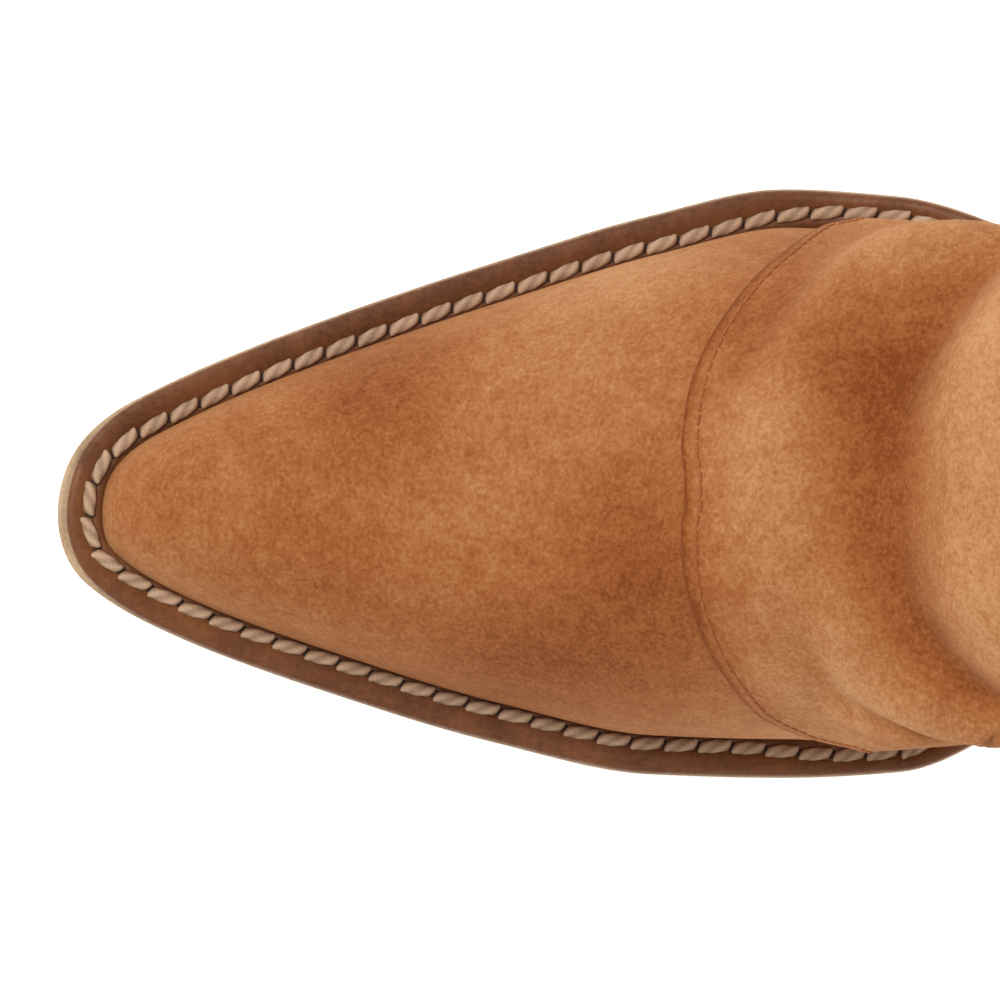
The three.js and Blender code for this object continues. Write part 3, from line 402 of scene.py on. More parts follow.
def shell(name, v, low, high, outside, inside, material, levels=60, closed=False, spread=1.0):
    """A sheet of leather on the upper between two levels and two depths, as one loop round each column v.
    It carries an edge-shade attribute = exp(-distance from the lower edge / 0.7 mm), painted shade along the lower
    edge and its rim, and folded = height of the folds, which the suede paints lighter on crests and darker in
    hollows."""
    t = np.linspace(0, 1, levels) ** spread
    level = low(v)[:, None] + (high(v) - low(v))[:, None] * t
    vv = np.broadcast_to(v[:, None], level.shape)
    outer, inner = upper_points(vv, level, outside(vv, level), inside(vv, level))
    top = rim(outer[:, -1], inner[:, -1], outer[:, -2])
    bottom = rim(inner[:, 0], outer[:, 0], inner[:, 1])
    loops = np.concatenate([outer, top, inner[:, ::-1], bottom], 1)
    # Painted shade: darker within about 0.7 mm of the lower edge and all over the lower rim, where the piece meets
    # the welt or the vamp
    near = np.exp(-np.linalg.norm(outer - outer[:, :1], axis=-1) / 0.7)
    near = np.concatenate([near, np.zeros(top.shape[:2]), near * 0, np.ones(bottom.shape[:2])], 1)
    # Fold height, which the suede uses for painted highlight on crests and painted shade in hollows
    folded = fold_height(vv, level)
    over = folded[:, -1:] * np.ones(top.shape[1])
    under = folded[:, :1] * np.ones(bottom.shape[1])
    folded = np.concatenate([folded, over, folded[:, ::-1], under], 1)
    return tube(name, loops, material, closed, {"painted_edge_shade": near, "folded": folded})


def const(value):
    def same(v, level=None):
        return np.full(np.shape(v if level is None else level), float(value))

    return same


def ride(piece, *nodes, body="boot", slot=None):
    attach(piece, body)
    if nodes:
        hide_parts(*nodes)
    return piece


# ---- Materials -------------------------------------------------------------------------------
class Tree:
    """Builds a node tree: add() makes a node and fills its inputs with values or other nodes' outputs."""

    def __init__(self, tree):
        self.tree = tree

    def add(self, kind, inputs=None, **settings):
        node = self.tree.nodes.new(kind)
        for key, value in settings.items():
            setattr(node, key, value)
        for key, value in (inputs or {}).items():
            socket = node.inputs[key]
            if isinstance(value, bpy.types.NodeSocket):
                self.tree.links.new(value, socket)
            else:
                socket.default_value = value
        return node

    def noise(self, vector, scale, detail=3.0, rough=0.5, distort=0.0):
        inputs = {"Vector": vector, "Scale": scale, "Detail": detail}
        inputs |= {"Roughness": rough, "Distortion": distort}
        return self.add("ShaderNodeTexNoise", inputs).outputs[0]

    def stretched(self, vector, stretch):
        return self.add("ShaderNodeMapping", {"Vector": vector, "Scale": stretch}).outputs[0]

    def sway(self, noise, amount, onto):
        """onto + amount (noise - 1/2)"""
        return self.math("MULTIPLY_ADD", self.math("SUBTRACT", noise, 0.5), amount, onto)

    def attribute(self, name):
        return self.add("ShaderNodeAttribute", None, attribute_name=name).outputs["Fac"]

    def math(self, operation, a, b=0.0, c=0.0):
        return self.add("ShaderNodeMath", {0: a, 1: b, 2: c}, operation=operation).outputs[0]

    def span(self, value, a, b, low=0.0, high=1.0):
        inputs = {0: value, 1: a, 2: b, 3: low, 4: high}
        return self.add("ShaderNodeMapRange", inputs, interpolation_type="SMOOTHSTEP").outputs[0]

    def ramp(self, value, stops):
        node = self.add("ShaderNodeValToRGB", {0: value})
        elements = node.color_ramp.elements
        while len(elements) < len(stops):
            elements.new(0.5)
        for element, (place, color) in zip(elements, stops):
            element.position = place
            element.color = color
        return node.outputs[0]

    def bump(self, height, strength, distance):
        inputs = {"Height": height, "Strength": strength, "Distance": distance}
        return self.add("ShaderNodeBump", inputs).outputs[0]


def srgb(r, g, b):
    """sRGB 0-255 to linear, with alpha 1."""
    c = np.array([r, g, b]) / 255
    lin = np.where(c <= 0.04045, c / 12.92, ((c + 0.055) / 1.055) ** 2.4)
    return (*lin.tolist(), 1.0)


def new_material(name):
    """A material with a bare Principled BSDF; returns (material, tree, principled, object coordinates)."""
    material = bpy.data.materials.new(name)
    material.use_nodes = True
    tree = Tree(material.node_tree)
    principled = material.node_tree.nodes["Principled BSDF"]
    coords = tree.add("ShaderNodeTexCoord").outputs["Object"]
    return material, tree, principled, coords


def connect(tree, principled, color, roughness, normal):
    for key, value in (("Base Color", color), ("Roughness", roughness), ("Normal", normal)):
        tree.tree.links.new(value, principled.inputs[key])


# Patches darker (-) or lighter (+), part nap lying differently and part painted shade and painted highlight where
# light falls on the foot and its folds: x, y from the toe tip, radius in mm, change of tone
NAP_AND_PAINTED_LIGHT_PATCHES = [(20, 94, 22, -0.4), (24, 52, 20, -0.2), (33, 74, 15, -0.22), (-14, 57, 13, -0.2),
           (-8, 72, 18, 0.08), (-36, 92, 13, 0.16), (-24, 124, 15, -0.32), (12, 113, 12, 0.12),
           (29, 119, 14, 0.12), (2, 22, 24, -0.14), (-20, 48, 16, -0.08)]
# Tone of the suede from dark to light: place on the ramp, linear red, green and blue
SUEDE_TONES = [(0.05, 0.205, 0.05, 0.0115), (0.38, 0.34, 0.11, 0.03),
               (0.62, 0.42, 0.172, 0.06), (0.92, 0.55, 0.275, 0.118)]


def suede(name, gain=1.0):
    """Brushed suede: soft patches where the nap lies differently, streaks, fine speckle and a furry bump, with
    placed patches that are part nap tone and part painted shade and painted highlight, painted shade along lower
    edges and painted light and shade on the folds.
    """
    material, t, principled, co = new_material(name)
    patch = t.noise(co, 21.0, 2.0, 0.5, 0.6)
    brushed = t.noise(t.stretched(co, (1.0, 0.45, 0.7)), 75.0, 4.0, 0.6, 1.2)
    mottle = t.noise(co, 330.0, 3.0, 0.6)
    speck = t.noise(co, 1250.0, 3.0, 0.75)
    tone = t.sway(patch, 0.5, 0.55)
    tone = t.sway(brushed, 0.3, tone)
    tone = t.sway(mottle, 0.45, tone)
    tone = t.sway(speck, 1.05, tone)
    plan = t.add("ShaderNodeVectorMath", {0: co, 1: (1.0, 1.0, 0.0)}, operation="MULTIPLY").outputs[0]
    # Placed patches: part nap tone, part painted shade and painted highlight
    for x, y, radius, change in NAP_AND_PAINTED_LIGHT_PATCHES:
        centre = (x / 1000, (y - LENGTH / 2) / 1000, 0.0)
        away = t.add("ShaderNodeVectorMath", {0: plan, 1: centre}, operation="DISTANCE").outputs["Value"]
        tone = t.math("ADD", tone, t.span(away, 0.0, 1.6 * radius / 1000, change, 0.0))
    # Painted shade along each piece's lower edge, where it meets the welt or the vamp
    tone = t.math("MULTIPLY_ADD", t.attribute("painted_edge_shade"), -0.45, tone)
    # Painted highlight on fold crests and painted shade in fold hollows, from the fold height
    tone = t.math("MULTIPLY_ADD", t.attribute("folded"), 0.07, tone)
    color = t.ramp(tone, [(place, (gain * r, gain * g, gain * b, 1)) for place, r, g, b in SUEDE_TONES])
    fibre = t.noise(co, 2600.0, 3.0, 0.7, 0.4)
    coarse = t.noise(co, 900.0, 2.0, 0.6)
    normal = t.bump(t.math("MULTIPLY_ADD", coarse, 0.6, fibre), 0.6, 0.00035)
    connect(t, principled, color, t.span(tone, 0.2, 0.8, 0.98, 0.86), normal)
    principled.inputs["Specular IOR Level"].default_value = 0.1
    principled.inputs["Sheen Weight"].default_value = 0.2
    principled.inputs["Sheen Roughness"].default_value = 0.45
    principled.inputs["Sheen Tint"].default_value = (1.0, 0.66, 0.36, 1)
    return material


def smooth_leather(name, dark, light, rough=(0.45, 0.65), grain=900.0, depth=0.00015, patch=45.0,
                   strength=0.35):
    """Smooth leather: cloudy colour, pores, fine scratches along the edge and a low grain."""
    material, t, principled, co = new_material(name)
    cloud = t.noise(co, patch, 4.0, 0.6, 0.5)
    pores = t.noise(co, grain, 3.0, 0.65)
    scuff = t.noise(t.stretched(co, (6.0, 1.0, 6.0)), 260.0, 3.0, 0.7)
    tone = t.sway(scuff, 0.5, t.sway(pores, 0.8, t.sway(cloud, 1.5, 0.5)))
    color = t.ramp(tone, [(0.15, dark), (0.85, light)])
    normal = t.bump(t.math("MULTIPLY_ADD", scuff, 0.4, pores), strength, depth)
    connect(t, principled, color, t.span(tone, 0.2, 0.8, rough[1], rough[0]), normal)
    principled.inputs["Specular IOR Level"].default_value = 0.25
    return material


def thread_material(name, dark, light):
    """Waxed thread: painted highlight on ply crowns and the top of each stitch, painted shade in the hollows
    between plies and underneath, and fine fibres.
    """
    material, t, principled, co = new_material(name)
    fibre = t.noise(co, 2600.0, 3.0, 0.7)
    cloud = t.noise(co, 120.0, 2.0, 0.5)
    # Painted highlight on ply crowns and stitch tops, painted shade between plies and below
    tone = t.sway(fibre, 0.7, t.math("MULTIPLY_ADD", cloud, 0.5, t.attribute("painted_ply_light")))
    color = t.ramp(tone, [(0.1, dark), (0.9, light)])
    connect(t, principled, color, t.span(fibre, 0.3, 0.7, 0.8, 0.62), t.bump(fibre, 0.4, 0.0002))
    principled.inputs["Specular IOR Level"].default_value = 0.25
    return material


def stacked_leather(name):
    """Burnished heel leather: thin fibre lines across the height, scuffs, a waxed gloss."""
    material, t, principled, co = new_material(name)
    lines = t.noise(t.stretched(co, (1.0, 1.0, 14.0)), 140.0, 4.0, 0.65, 0.4)
    cloud = t.noise(co, 70.0, 3.0, 0.6)
    tone = t.sway(lines, 1.4, t.math("MULTIPLY_ADD", cloud, 0.6, 0.2))
    color = t.ramp(tone, [(0.15, srgb(78, 45, 26)), (0.5, srgb(118, 74, 46)), (0.9, srgb(150, 100, 64))])
    connect(t, principled, color, t.span(cloud, 0.3, 0.7, 0.38, 0.56), t.bump(lines, 0.35, 0.0003))
    return material


def plain(name, dark, light, rough, scale=300.0, metal=0.0, strength=0.25, depth=0.0002):
    """A material of one kind with cloudy colour, grain and uneven roughness."""
    material, t, principled, co = new_material(name)
    grain = t.noise(co, scale, 4.0, 0.65)
    cloud = t.noise(co, scale / 9, 3.0, 0.5)
    tone = t.math("MULTIPLY_ADD", grain, 0.6, t.math("MULTIPLY", cloud, 0.6))
    connect(t, principled, t.ramp(tone, [(0.3, dark), (0.8, light)]),
            t.span(cloud, 0.3, 0.7, rough - 0.08, rough + 0.1), t.bump(grain, strength, depth))
    principled.inputs["Metallic"].default_value = metal
    return material


SUEDE = suede("suede")
SUEDE_EDGE = suede("suede_edge", 0.86)
WELT_LEATHER = smooth_leather("welt_leather", srgb(82, 44, 21), srgb(126, 77, 42))
SOLE_EDGE = smooth_leather("sole_leather", srgb(150, 118, 84), srgb(206, 176, 140), (0.5, 0.7), 1300.0, 1e-4)
LINING_LEATHER = smooth_leather("lining_leather", srgb(176, 132, 88), srgb(214, 172, 126), (0.55, 0.75),
                                1500.0, 1e-4, 25.0, 0.2)
WELT_THREAD = thread_material("welt_thread", srgb(98, 68, 47), srgb(196, 162, 132))
# Painted shade: dark discs for the shaded needle holes between the welt stitches
NEEDLE_HOLE_SHADE = plain("needle_hole_shade", srgb(38, 22, 14), srgb(62, 38, 24), 0.9, 800.0)
SUEDE_THREAD = thread_material("suede_thread", srgb(104, 52, 22), srgb(172, 100, 50))
STACK = stacked_leather("stacked_leather")
RUBBER = plain("heel_rubber", srgb(28, 24, 21), srgb(52, 45, 40), 0.75, 700.0)
BRASS = plain("brass_nail", srgb(150, 120, 60), srgb(205, 178, 104), 0.35, 500.0, 1.0)
STEEL = plain("steel", srgb(120, 122, 126), srgb(176, 178, 182), 0.35, 500.0, 1.0)
BOARD = plain("stiffener_board", srgb(186, 172, 146), srgb(224, 214, 192), 0.9, 600.0)
CORK = plain("cork", srgb(120, 82, 50), srgb(196, 150, 100), 0.92, 420.0, 0.0, 0.7, 0.0006)
FOAM = plain("heel_foam", srgb(202, 184, 150), srgb(232, 218, 190), 0.92, 900.0)

CAD_LOOK = {
    "suede": SUEDE, "suede_edge": SUEDE_EDGE, "lining_leather": LINING_LEATHER, "stiffener_board": BOARD,
    "suede_thread": SUEDE_THREAD, "welt_thread": WELT_THREAD, "welt_leather": WELT_LEATHER,
    "sole_leather": SOLE_EDGE, "stacked_leather": STACK, "cork": CORK, "steel": STEEL,
    "brass_nail": BRASS, "heel_rubber": RUBBER, "heel_foam": FOAM}
for part in frame["record"]["subparts"]:
    mesh = frame["nodes"][part["node"]].data
    mesh.materials.clear()
    mesh.materials.append(CAD_LOOK[part["material_slot"]])


# ---- Upper pieces ----------------------------------------------------------------------------
def both_sides(run_end, count):
    return np.linspace(-run_end, run_end, count)


vamp_end = float(length_to_run(run_to_length(SEAM_END) + SEAM_OVERLAP))


def build_vamp():
    """The vamp's sheet, from the welt to its hidden margin under the shaft panel."""

    def high(v):
        return seam_level(v, SEAM_OVERLAP)

    v = both_sides(vamp_end, 300)
    piece = shell("vamp_suede", v, const(0.0), high, const(0.0), const(-LEATHER), SUEDE, 110)
    ride(piece, "vamp", slot="suede")


def build_shaft():
    """Front and back shaft panels: the front one starts at the curved seam and laps over the vamp."""
    gap = 0.0045
    faces = const(PANEL_OUT), const(PANEL_IN)
    v = both_sides(SIDE_RUN - gap, 300)
    piece = shell("shaft_front_suede", v, seam_level, const(2.0), *faces, SUEDE, 210, spread=1.3)
    ride(piece, "shaft_front_panel", slot="suede")
    v = np.linspace(SIDE_RUN + gap, 2 - SIDE_RUN - gap, 200)
    piece = shell("shaft_back_suede", v, const(0.0), const(2.0), *faces, SUEDE, 160)
    ride(piece, "shaft_back_panel", slot="suede")


def build_lining():
    """The shaft's linings, inside the panels, sunk to clear the seam in front and the stiffener behind."""
    overlap, high = 0.001, const(1.995)

    def front_low(v):
        return seam_level(v, SEAM_OVERLAP + 1)

    def front_outside(v, level):
        return LINING_OUT - 1.6 * bell((side_and_run(v)[1] - SEAM_END + 0.012) / 0.035)

    def front_inside(v, level):
        return front_outside(v, level) - LINING

    def back_outside(v, level):
        return LINING_OUT - 2.4 * smooth(0.66, 0.71, side_and_run(v)[1]) * (1 - smooth(0.86, 1.08, level))

    def back_inside(v, level):
        return back_outside(v, level) - LINING

    v = both_sides(SIDE_RUN - overlap, 160)
    piece = shell("shaft_lining_front_leather", v, front_low, high, front_outside, front_inside,
                  LINING_LEATHER, 120)
    ride(piece, "shaft_lining_front", slot="lining_leather")
    v = np.linspace(SIDE_RUN + overlap, 2 - SIDE_RUN - overlap, 120)
    piece = shell("shaft_lining_back_leather", v, const(0.0), high, back_outside, back_inside,
                  LINING_LEATHER, 100)
    ride(piece, "shaft_lining_back", slot="lining_leather")


COVER_FROM = 0.72


def cover_top(v):
    return 0.38 + 0.66 * (1 - ((1 - side_and_run(v)[1]) / (1 - COVER_FROM)) ** 2)


def build_counter_cover():
    v = np.linspace(COVER_FROM, 2 - COVER_FROM, 160)
    faces = const(COVER_OUT), const(COVER_IN)
    piece = shell("counter_cover_suede", v, const(0.0), cover_top, *faces, SUEDE, 60)
    ride(piece, "heel_counter_cover", slot="suede")


def build_binding():
    """The topline's folded suede binding: a U over the edge, 7 mm deep on both faces."""
    v = np.linspace(-1, 1, 360, endpoint=False)
    out, back = PANEL_OUT + 1.0, LINING_IN - 0.9

    def strip(drops, depths):
        level = 2 - 7 / SHAFT_REACH * np.array(drops)
        return upper_point(v[:, None], level[None], np.array(depths)[None])

    low_out = strip([1.0, 0.5, 0.12], [out - 0.15, out + 0.1, out])
    low_in = strip([0.12, 0.5, 1.0], [back, back - 0.1, back + 0.15])
    up = upper_point(v, 2.0, 0.0) - upper_point(v, 1.98, 0.0)
    crown = rim(low_out[:, -1], low_in[:, 0], low_out[:, -1] - up, 1.1, 7)
    hidden_in = strip([1.0, 0.3], [back + 0.85, back + 0.85])
    hidden_out = strip([0.3, 1.0], [out - 0.95, out - 0.95])
    loops = np.concatenate([low_out, crown, low_in, hidden_in, hidden_out], 1)
    ride(tube("topline_binding_suede", loops, SUEDE_EDGE, True), "topline_binding", slot="suede_edge")


def build_piping(side, label):
    """The raised side seam: a half-round cord of folded suede up each side of the boot."""
    level = np.linspace(0.01, 1.97, 220)
    angle = np.linspace(0, PI, 9)
    sideways, depth = 1.5 * np.cos(angle), PANEL_IN + 0.9 + 1.5 * np.sin(angle)
    sideways, depth = np.r_[sideways, -1.5, 1.5], np.r_[depth, PANEL_IN, PANEL_IN]
    loops = upper_point(side * SIDE_RUN, level[:, None], depth[None], sideways[None])
    ride(tube(f"side_piping_{label}_suede", loops, SUEDE_EDGE), f"side_piping_{label}", slot="suede_edge")


def build_strap(side, label):
    """A pull strap: one strip from the shaft's outside, up over the topline in a loop, and down inside."""
    half_thick, loop_radius, loop_straight = 0.8, 7.3, 14
    depth_out = PANEL_IN + 2.6 + half_thick
    depth_in = LINING_IN - 0.3 - half_thick
    k = np.linspace(-1, 1, 13)
    levels = np.linspace(1.985 - 42 / SHAFT_REACH, 1.96, 10)
    v = side * SIDE_RUN + k * STRAP_HALF_RUN
    outer = upper_point(v[None], levels[:, None], depth_out)
    inner = upper_point(v[None], levels[::-1, None], depth_in)
    pos = [j for j in frame["joints"] if label in j["name"]][0]["pos_m"]
    axis = np.array(pos) * 1000 + [0, LENGTH / 2, 0]
    turn = np.linspace(0.35, PI / 2, 5)
    half_x = np.r_[3.9, 4.3, 6.3, loop_radius, loop_radius, loop_radius * np.cos(turn)]
    half_z = np.r_[0.5, 3.5, 7.5, 11, loop_straight, loop_straight + loop_radius * np.sin(turn)]
    path_x, path_z = np.r_[half_x, -half_x[-2::-1]], np.r_[half_z, half_z[-2::-1]]
    loop = axis + xyz(side * path_x[:, None], 9 * side * k[None], path_z[:, None])
    rows = np.concatenate([outer, loop, inner], 0)
    length = np.r_[0, np.cumsum(np.linalg.norm(np.diff(rows[:, 6], axis=0), axis=1))]
    at = np.linspace(0, length[-1], 150)
    rows = np.stack([[np.interp(at, length, rows[:, i, j]) for j in range(3)] for i in range(len(k))])
    rows = rows.transpose(2, 0, 1)
    for _ in range(14):
        rows[1:-1] = (rows[:-2] + 2 * rows[1:-1] + rows[2:]) / 4
    normal = unit(np.cross(np.gradient(rows, axis=0), np.gradient(rows, axis=1)))
    thin = half_thick * (1 - 0.35 * np.abs(k) ** 6)[None, :, None]
    loops = np.concatenate([rows + normal * thin, (rows - normal * thin)[:, ::-1]], 1)
    piece = tube(f"pull_strap_{label}_suede", loops, SUEDE)
    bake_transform(piece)
    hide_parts(*[f"pull_strap_{label}_{p}" for p in ("outer_leg", "inner_leg", "loop")])


# ---- Threads ---------------------------------------------------------------------------------
def capsules(name, centre, along, up, half_length, half_width, half_height, material, twist, blunt, shear):
    """A row of stitches, each a spindle along its own direction with two twisted plies and slanting ends:
    radius (1 - x^blunt)^0.5 (1 + 0.07 cos(2 (angle - twist x))) for x from -1 to 1."""
    steps, around = 14, 12
    n = len(centre)
    x = -np.cos(np.linspace(0, PI, steps))
    swell = np.maximum(1 - x ** blunt, 0) ** 0.5
    angle = np.linspace(0, 2 * PI, around, endpoint=False)
    lobe = 1 + 0.07 * np.cos(2 * (angle[None] - twist * x[:, None]))
    side = unit(np.cross(along, up))
    lift = np.cross(side, along)
    w = swell[:, None] * lobe * np.cos(angle)[None]
    h = swell[:, None] * lobe * np.sin(angle)[None]
    reach = (x[:, None] * np.ones(around)[None]) * half_length - shear * w * half_width
    p = centre[:, None, None] + along[:, None, None] * reach[None, ..., None]
    p = p + side[:, None, None] * w[None, ..., None] * half_width
    p = p + lift[:, None, None] * h[None, ..., None] * half_height
    rows = quads(steps, around, False, True)
    faces = np.array(rows)[None] + (np.arange(n) * steps * around)[:, None, None]
    faces = faces.reshape(-1, 4).tolist()
    # Painted highlight on each ply's crown and the stitch's top, painted shade in the hollows between plies and on
    # the underside
    painted_ply_light = np.broadcast_to(((lobe - 0.93) / 0.14 * 0.34 + 0.15 * h + 0.1)[None], (n, steps, around))
    piece = make_object(name, p.reshape(-1, 3), faces, material, {"painted_ply_light": painted_ply_light})
    return fix_outward(piece)


def path_stitches(name, path, normal, pitch, length, width, height, material,
                  slant=0.0, twist=4.0, blunt=4, shear=0.0, phase=0.5):
    """Stitches set out at equal steps along a path of points with their outward normals."""
    reach = np.r_[0, np.cumsum(np.linalg.norm(np.diff(path, axis=0), axis=1))]
    count = max(int(reach[-1] / pitch), 1)
    at = (np.arange(count) + phase) * reach[-1] / count

    def pick(values, places):
        return np.stack([np.interp(places, reach, values[:, i]) for i in range(3)], -1)

    along = unit(pick(path, at + 0.4) - pick(path, at - 0.4))
    up = unit(pick(normal, at))
    along = unit(along + np.cross(up, along) * math.tan(slant))
    half = length / 2, width / 2, height / 2
    return capsules(name, pick(path, at), along, up, *half, material, twist, blunt, shear)


def fine_row(name, v, level, depth, pitch=2.3, length=1.9, width=0.6):
    """A row of small stitches in the suede's own colour, lying on the upper at a depth."""
    path, normal = upper_point(v, level, depth), surface(v, level)[1]
    return path_stitches(name, path, normal, pitch, length, width, 0.5, SUEDE_THREAD)


def build_seam_threads():
    """Tone-on-tone rows: behind the shaft panel's cut edge, round the counter cover, round the binding and
    down both sides of each side seam."""
    v = both_sides(0.464, 900)
    row = fine_row("vamp_seam_stitches", v, seam_level(v, 2.6), PANEL_OUT + 0.02, width=0.62)
    ride(row, "vamp_seam_thread", slot="suede_thread")
    v = np.linspace(COVER_FROM + 0.012, 2 - COVER_FROM - 0.012, 500)
    for k, drop in enumerate((0.03, 0.05)):
        row = fine_row(f"counter_cover_stitches_{k + 1}", v, cover_top(v) - drop, COVER_OUT + 0.05)
        ride(row, slot="suede_thread")
    v = np.linspace(-1, 1, 900)
    level = np.full_like(v, 2 - 5.4 / SHAFT_REACH)
    ride(fine_row("binding_stitches", v, level, PANEL_OUT + 1.08, 2.5, 2.0), slot="suede_thread")
    level = np.linspace(0.02, 1.8, 700)
    for side, label in ((1, "medial"), (-1, "lateral")):
        for k, gap in enumerate((-0.008, 0.008)):
            v = np.full_like(level, side * SIDE_RUN + gap)
            row = fine_row(f"side_seam_stitches_{label}_{k + 1}", v, level, PANEL_OUT + 0.05, 2.5, 2.0)
            ride(row, slot="suede_thread")


# ---- Sole pieces -----------------------------------------------------------------------------
def on_sole(v, inset, rise):
    x, y = edge_point(v, inset)
    return xyz(x, y, underside(y) + rise)


def toe_step(run):
    """How far the welt's edge stands back from the outsole's: most at the toe, least at the waist."""
    return mix(1.7, 0.45, smooth(0.02, 0.16, run))


def build_band(name, v, outline, material, node, slot):
    """A band round the sole: the outline of (inset, rise) pairs at every column v."""
    loops = np.stack([on_sole(v, inset, rise) for inset, rise in outline(side_and_run(v)[1])], 1)
    ride(tube(name, loops, material), node, slot=slot)


def stitch_inset(run):
    """The welt's stitches run 5.3 mm in from the edge and keep clear of the shaft panel."""
    under_panel = smooth(SEAM_END - 0.07, SEAM_END - 0.01, run)
    return np.minimum(5.3, welt_inset(run) - PANEL_OUT * under_panel - 1.3)


def welt_outline(run):
    """The welt: square outer edge with a small bevel, a shallow stitch channel, and a lip at the upper."""
    e, s = toe_step(run), stitch_inset(run)
    behind_seam = np.where(run > SEAM_END, PANEL_OUT - 0.3, 0.0)
    inner = welt_inset(run) + 0.3 - behind_seam * smooth(SEAM_END - 0.02, SEAM_END + 0.02, run)
    low, high = FEATHER - 0.65, FEATHER + WELT
    edge = [(e, low), (e - 0.05, high - 1.2), (e + 0.15, high - 0.45), (e + 0.6, high - 0.08)]
    channel = [(e + 1.1, high), (s - 1.25, high), (s - 0.95, high - 0.25), (s, high - 0.5)]
    lip = [(s + 0.9, high - 0.3), (inner, high - 0.15), (inner, low)]
    return edge + channel + lip


def rand_outline(run):
    low, high = FEATHER - 0.65, FEATHER + WELT - 0.7
    inner = welt_inset(run) - PANEL_OUT - LEATHER
    edge = [(0.45, low), (0.3, high - 1.0), (0.6, high - 0.2), (1.2, high)]
    return edge + [(inner - 0.4, high), (inner + 0.4, low)]


def layer(name, runs, inset, low, high, material, node, slot, edge=0.8, across=14):
    """A solid that follows the sole: closed sections from one edge to the other with rounded edges."""
    corner = ((edge, 0.0), (0.25 * edge, 0.2 * edge), (0.0, 0.8 * edge))
    inner_top, outer_top = ([on_sole(side * runs, inset + e, high - d) for e, d in corner] for side in (1, -1))
    inner_low, outer_low = ([on_sole(side * runs, inset + e, low + d) for e, d in corner] for side in (1, -1))
    shares = np.linspace(0, 1, across)[1:-1]
    under = [mix(inner_low[0], outer_low[0], share) for share in shares]
    over = [mix(outer_top[0], inner_top[0], share) for share in shares]
    loops = inner_low[::-1] + under + outer_low + outer_top[::-1] + over + inner_top
    ride(tube(name, np.stack(loops, 1), material), node, slot=slot)


def build_sole():
    layer("outsole_leather", np.linspace(0, 1, 260), 0.0, 0.0, OUTSOLE + 0.05, SOLE_EDGE, "outsole",
          "sole_leather", 0.7)
    v = both_sides(BREAST_RUN - 0.004, 420)
    build_band("welt_leather_strip", v, welt_outline, WELT_LEATHER, "welt", "welt_leather")
    v = np.linspace(BREAST_RUN, 2 - BREAST_RUN, 160)
    build_band("heel_rand_leather", v, rand_outline, WELT_LEATHER, "heel_rand", "welt_leather")
    cork, insole, sock, gap = 1.8, 2.2, 0.9, 0.3
    runs = np.linspace(0.001, 0.999, 160)
    low = FEATHER + cork + gap + insole + gap + 2.6 * smooth(0.66, 0.76, runs)
    layer("sock_liner_leather", runs, welt_inset(runs) + 6.3, low, low + sock, LINING_LEATHER, "sock_liner",
          "lining_leather", 0.3)


def build_welt_stitching():
    """Chunky waxed stitches on the welt, each turned a little off the edge, with dark discs of painted shade for
    the needle holes between.
    """
    v = both_sides(0.66, 4000)
    path = on_sole(v, stitch_inset(side_and_run(v)[1]), FEATHER + WELT - 0.12)
    normal = np.broadcast_to([0.0, 0.0, 1.0], path.shape)
    row = path_stitches("welt_stitches", path, normal, STITCH_PITCH, 5.4, 2.15, 1.3, WELT_THREAD,
                        slant=0.1, twist=2.6, blunt=10, shear=0.45)
    ride(row, "welt_stitching", slot="welt_thread")
    # Dark discs sunk a little under the stitch line: painted shade standing in for the needle holes
    holes = path_stitches("welt_needle_hole_shade", path - [0, 0, 0.28], normal, STITCH_PITCH, 1.5, 1.5, 0.35,
                          NEEDLE_HOLE_SHADE, twist=0.0, phase=0.0)
    ride(holes, slot="welt_leather")


# ---- Heel ------------------------------------------------------------------------------------
def heel_outline(height, inset=0.0):
    """Closed outline of the heel at a height: the seat's outline drawn in towards the floor, and a breast."""
    down = 1 - min(height / SEAT[0], 1)
    breast_at = float(run_to_length(BREAST_RUN))
    shorten = 1 - 14 * down / (LENGTH - breast_at)
    breast = breast_at + 3 * down
    run = np.linspace(BREAST_RUN, 1, 70)
    sink = 0.6 + inset + 5.5 * down * smooth(1.05, 0.8, run)
    ix, iy = edge_point(run, sink)
    ox, oy = edge_point(-run, sink)
    side = np.r_[np.stack([ix, iy], -1), np.stack([ox, oy], -1)[::-1]]
    t = np.linspace(0, 1, 26)[1:-1, None]
    front = mix(side[-1], side[0], t)
    front[:, 1] += 1.6 * np.sin(PI * t[:, 0])
    outline = np.r_[side, front]
    outline[:, 1] = breast + (outline[:, 1] - breast_at) * shorten + inset * (outline[:, 1] < breast_at + 4)
    return outline


def heel_slab(name, low, high, material, node, slot, under_seat=False):
    """A lift of the heel: rings from its lower middle, out round the side with worn edges, to its upper
    middle. Under the seat its top follows the sole."""
    middle = (low + high) / 2
    below = [(low, 0.9), (low, 0.35), (low + 0.25, 0.08)]
    above = [(high - 0.25, 0.08), (high, 0.35), (high, 0.9)]
    rings = []
    for height, inset in below + [(middle, 0.0)] + above:
        plan = heel_outline(height, inset)
        z = np.full(len(plan), height)
        top = underside(plan[:, 1]) - 0.05
        if under_seat and height > middle:
            z = top - (high - height)
        elif under_seat and height == middle:
            z = (low + top) / 2
        rings.append(np.c_[plan, z])
    rings = np.stack(rings)
    count = rings.shape[1]
    points = np.r_[rings.reshape(-1, 3), [rings[0].mean(0), rings[-1].mean(0)]]
    n = len(points)
    top = (len(rings) - 1) * count
    faces = quads(len(rings), count, False, True)
    faces += [[i, (i + 1) % count, n - 2] for i in range(count)]
    faces += [[top + (i + 1) % count, top + i, n - 1] for i in range(count)]
    ride(fix_outward(make_object(name, points, faces, material)), node, slot=slot)


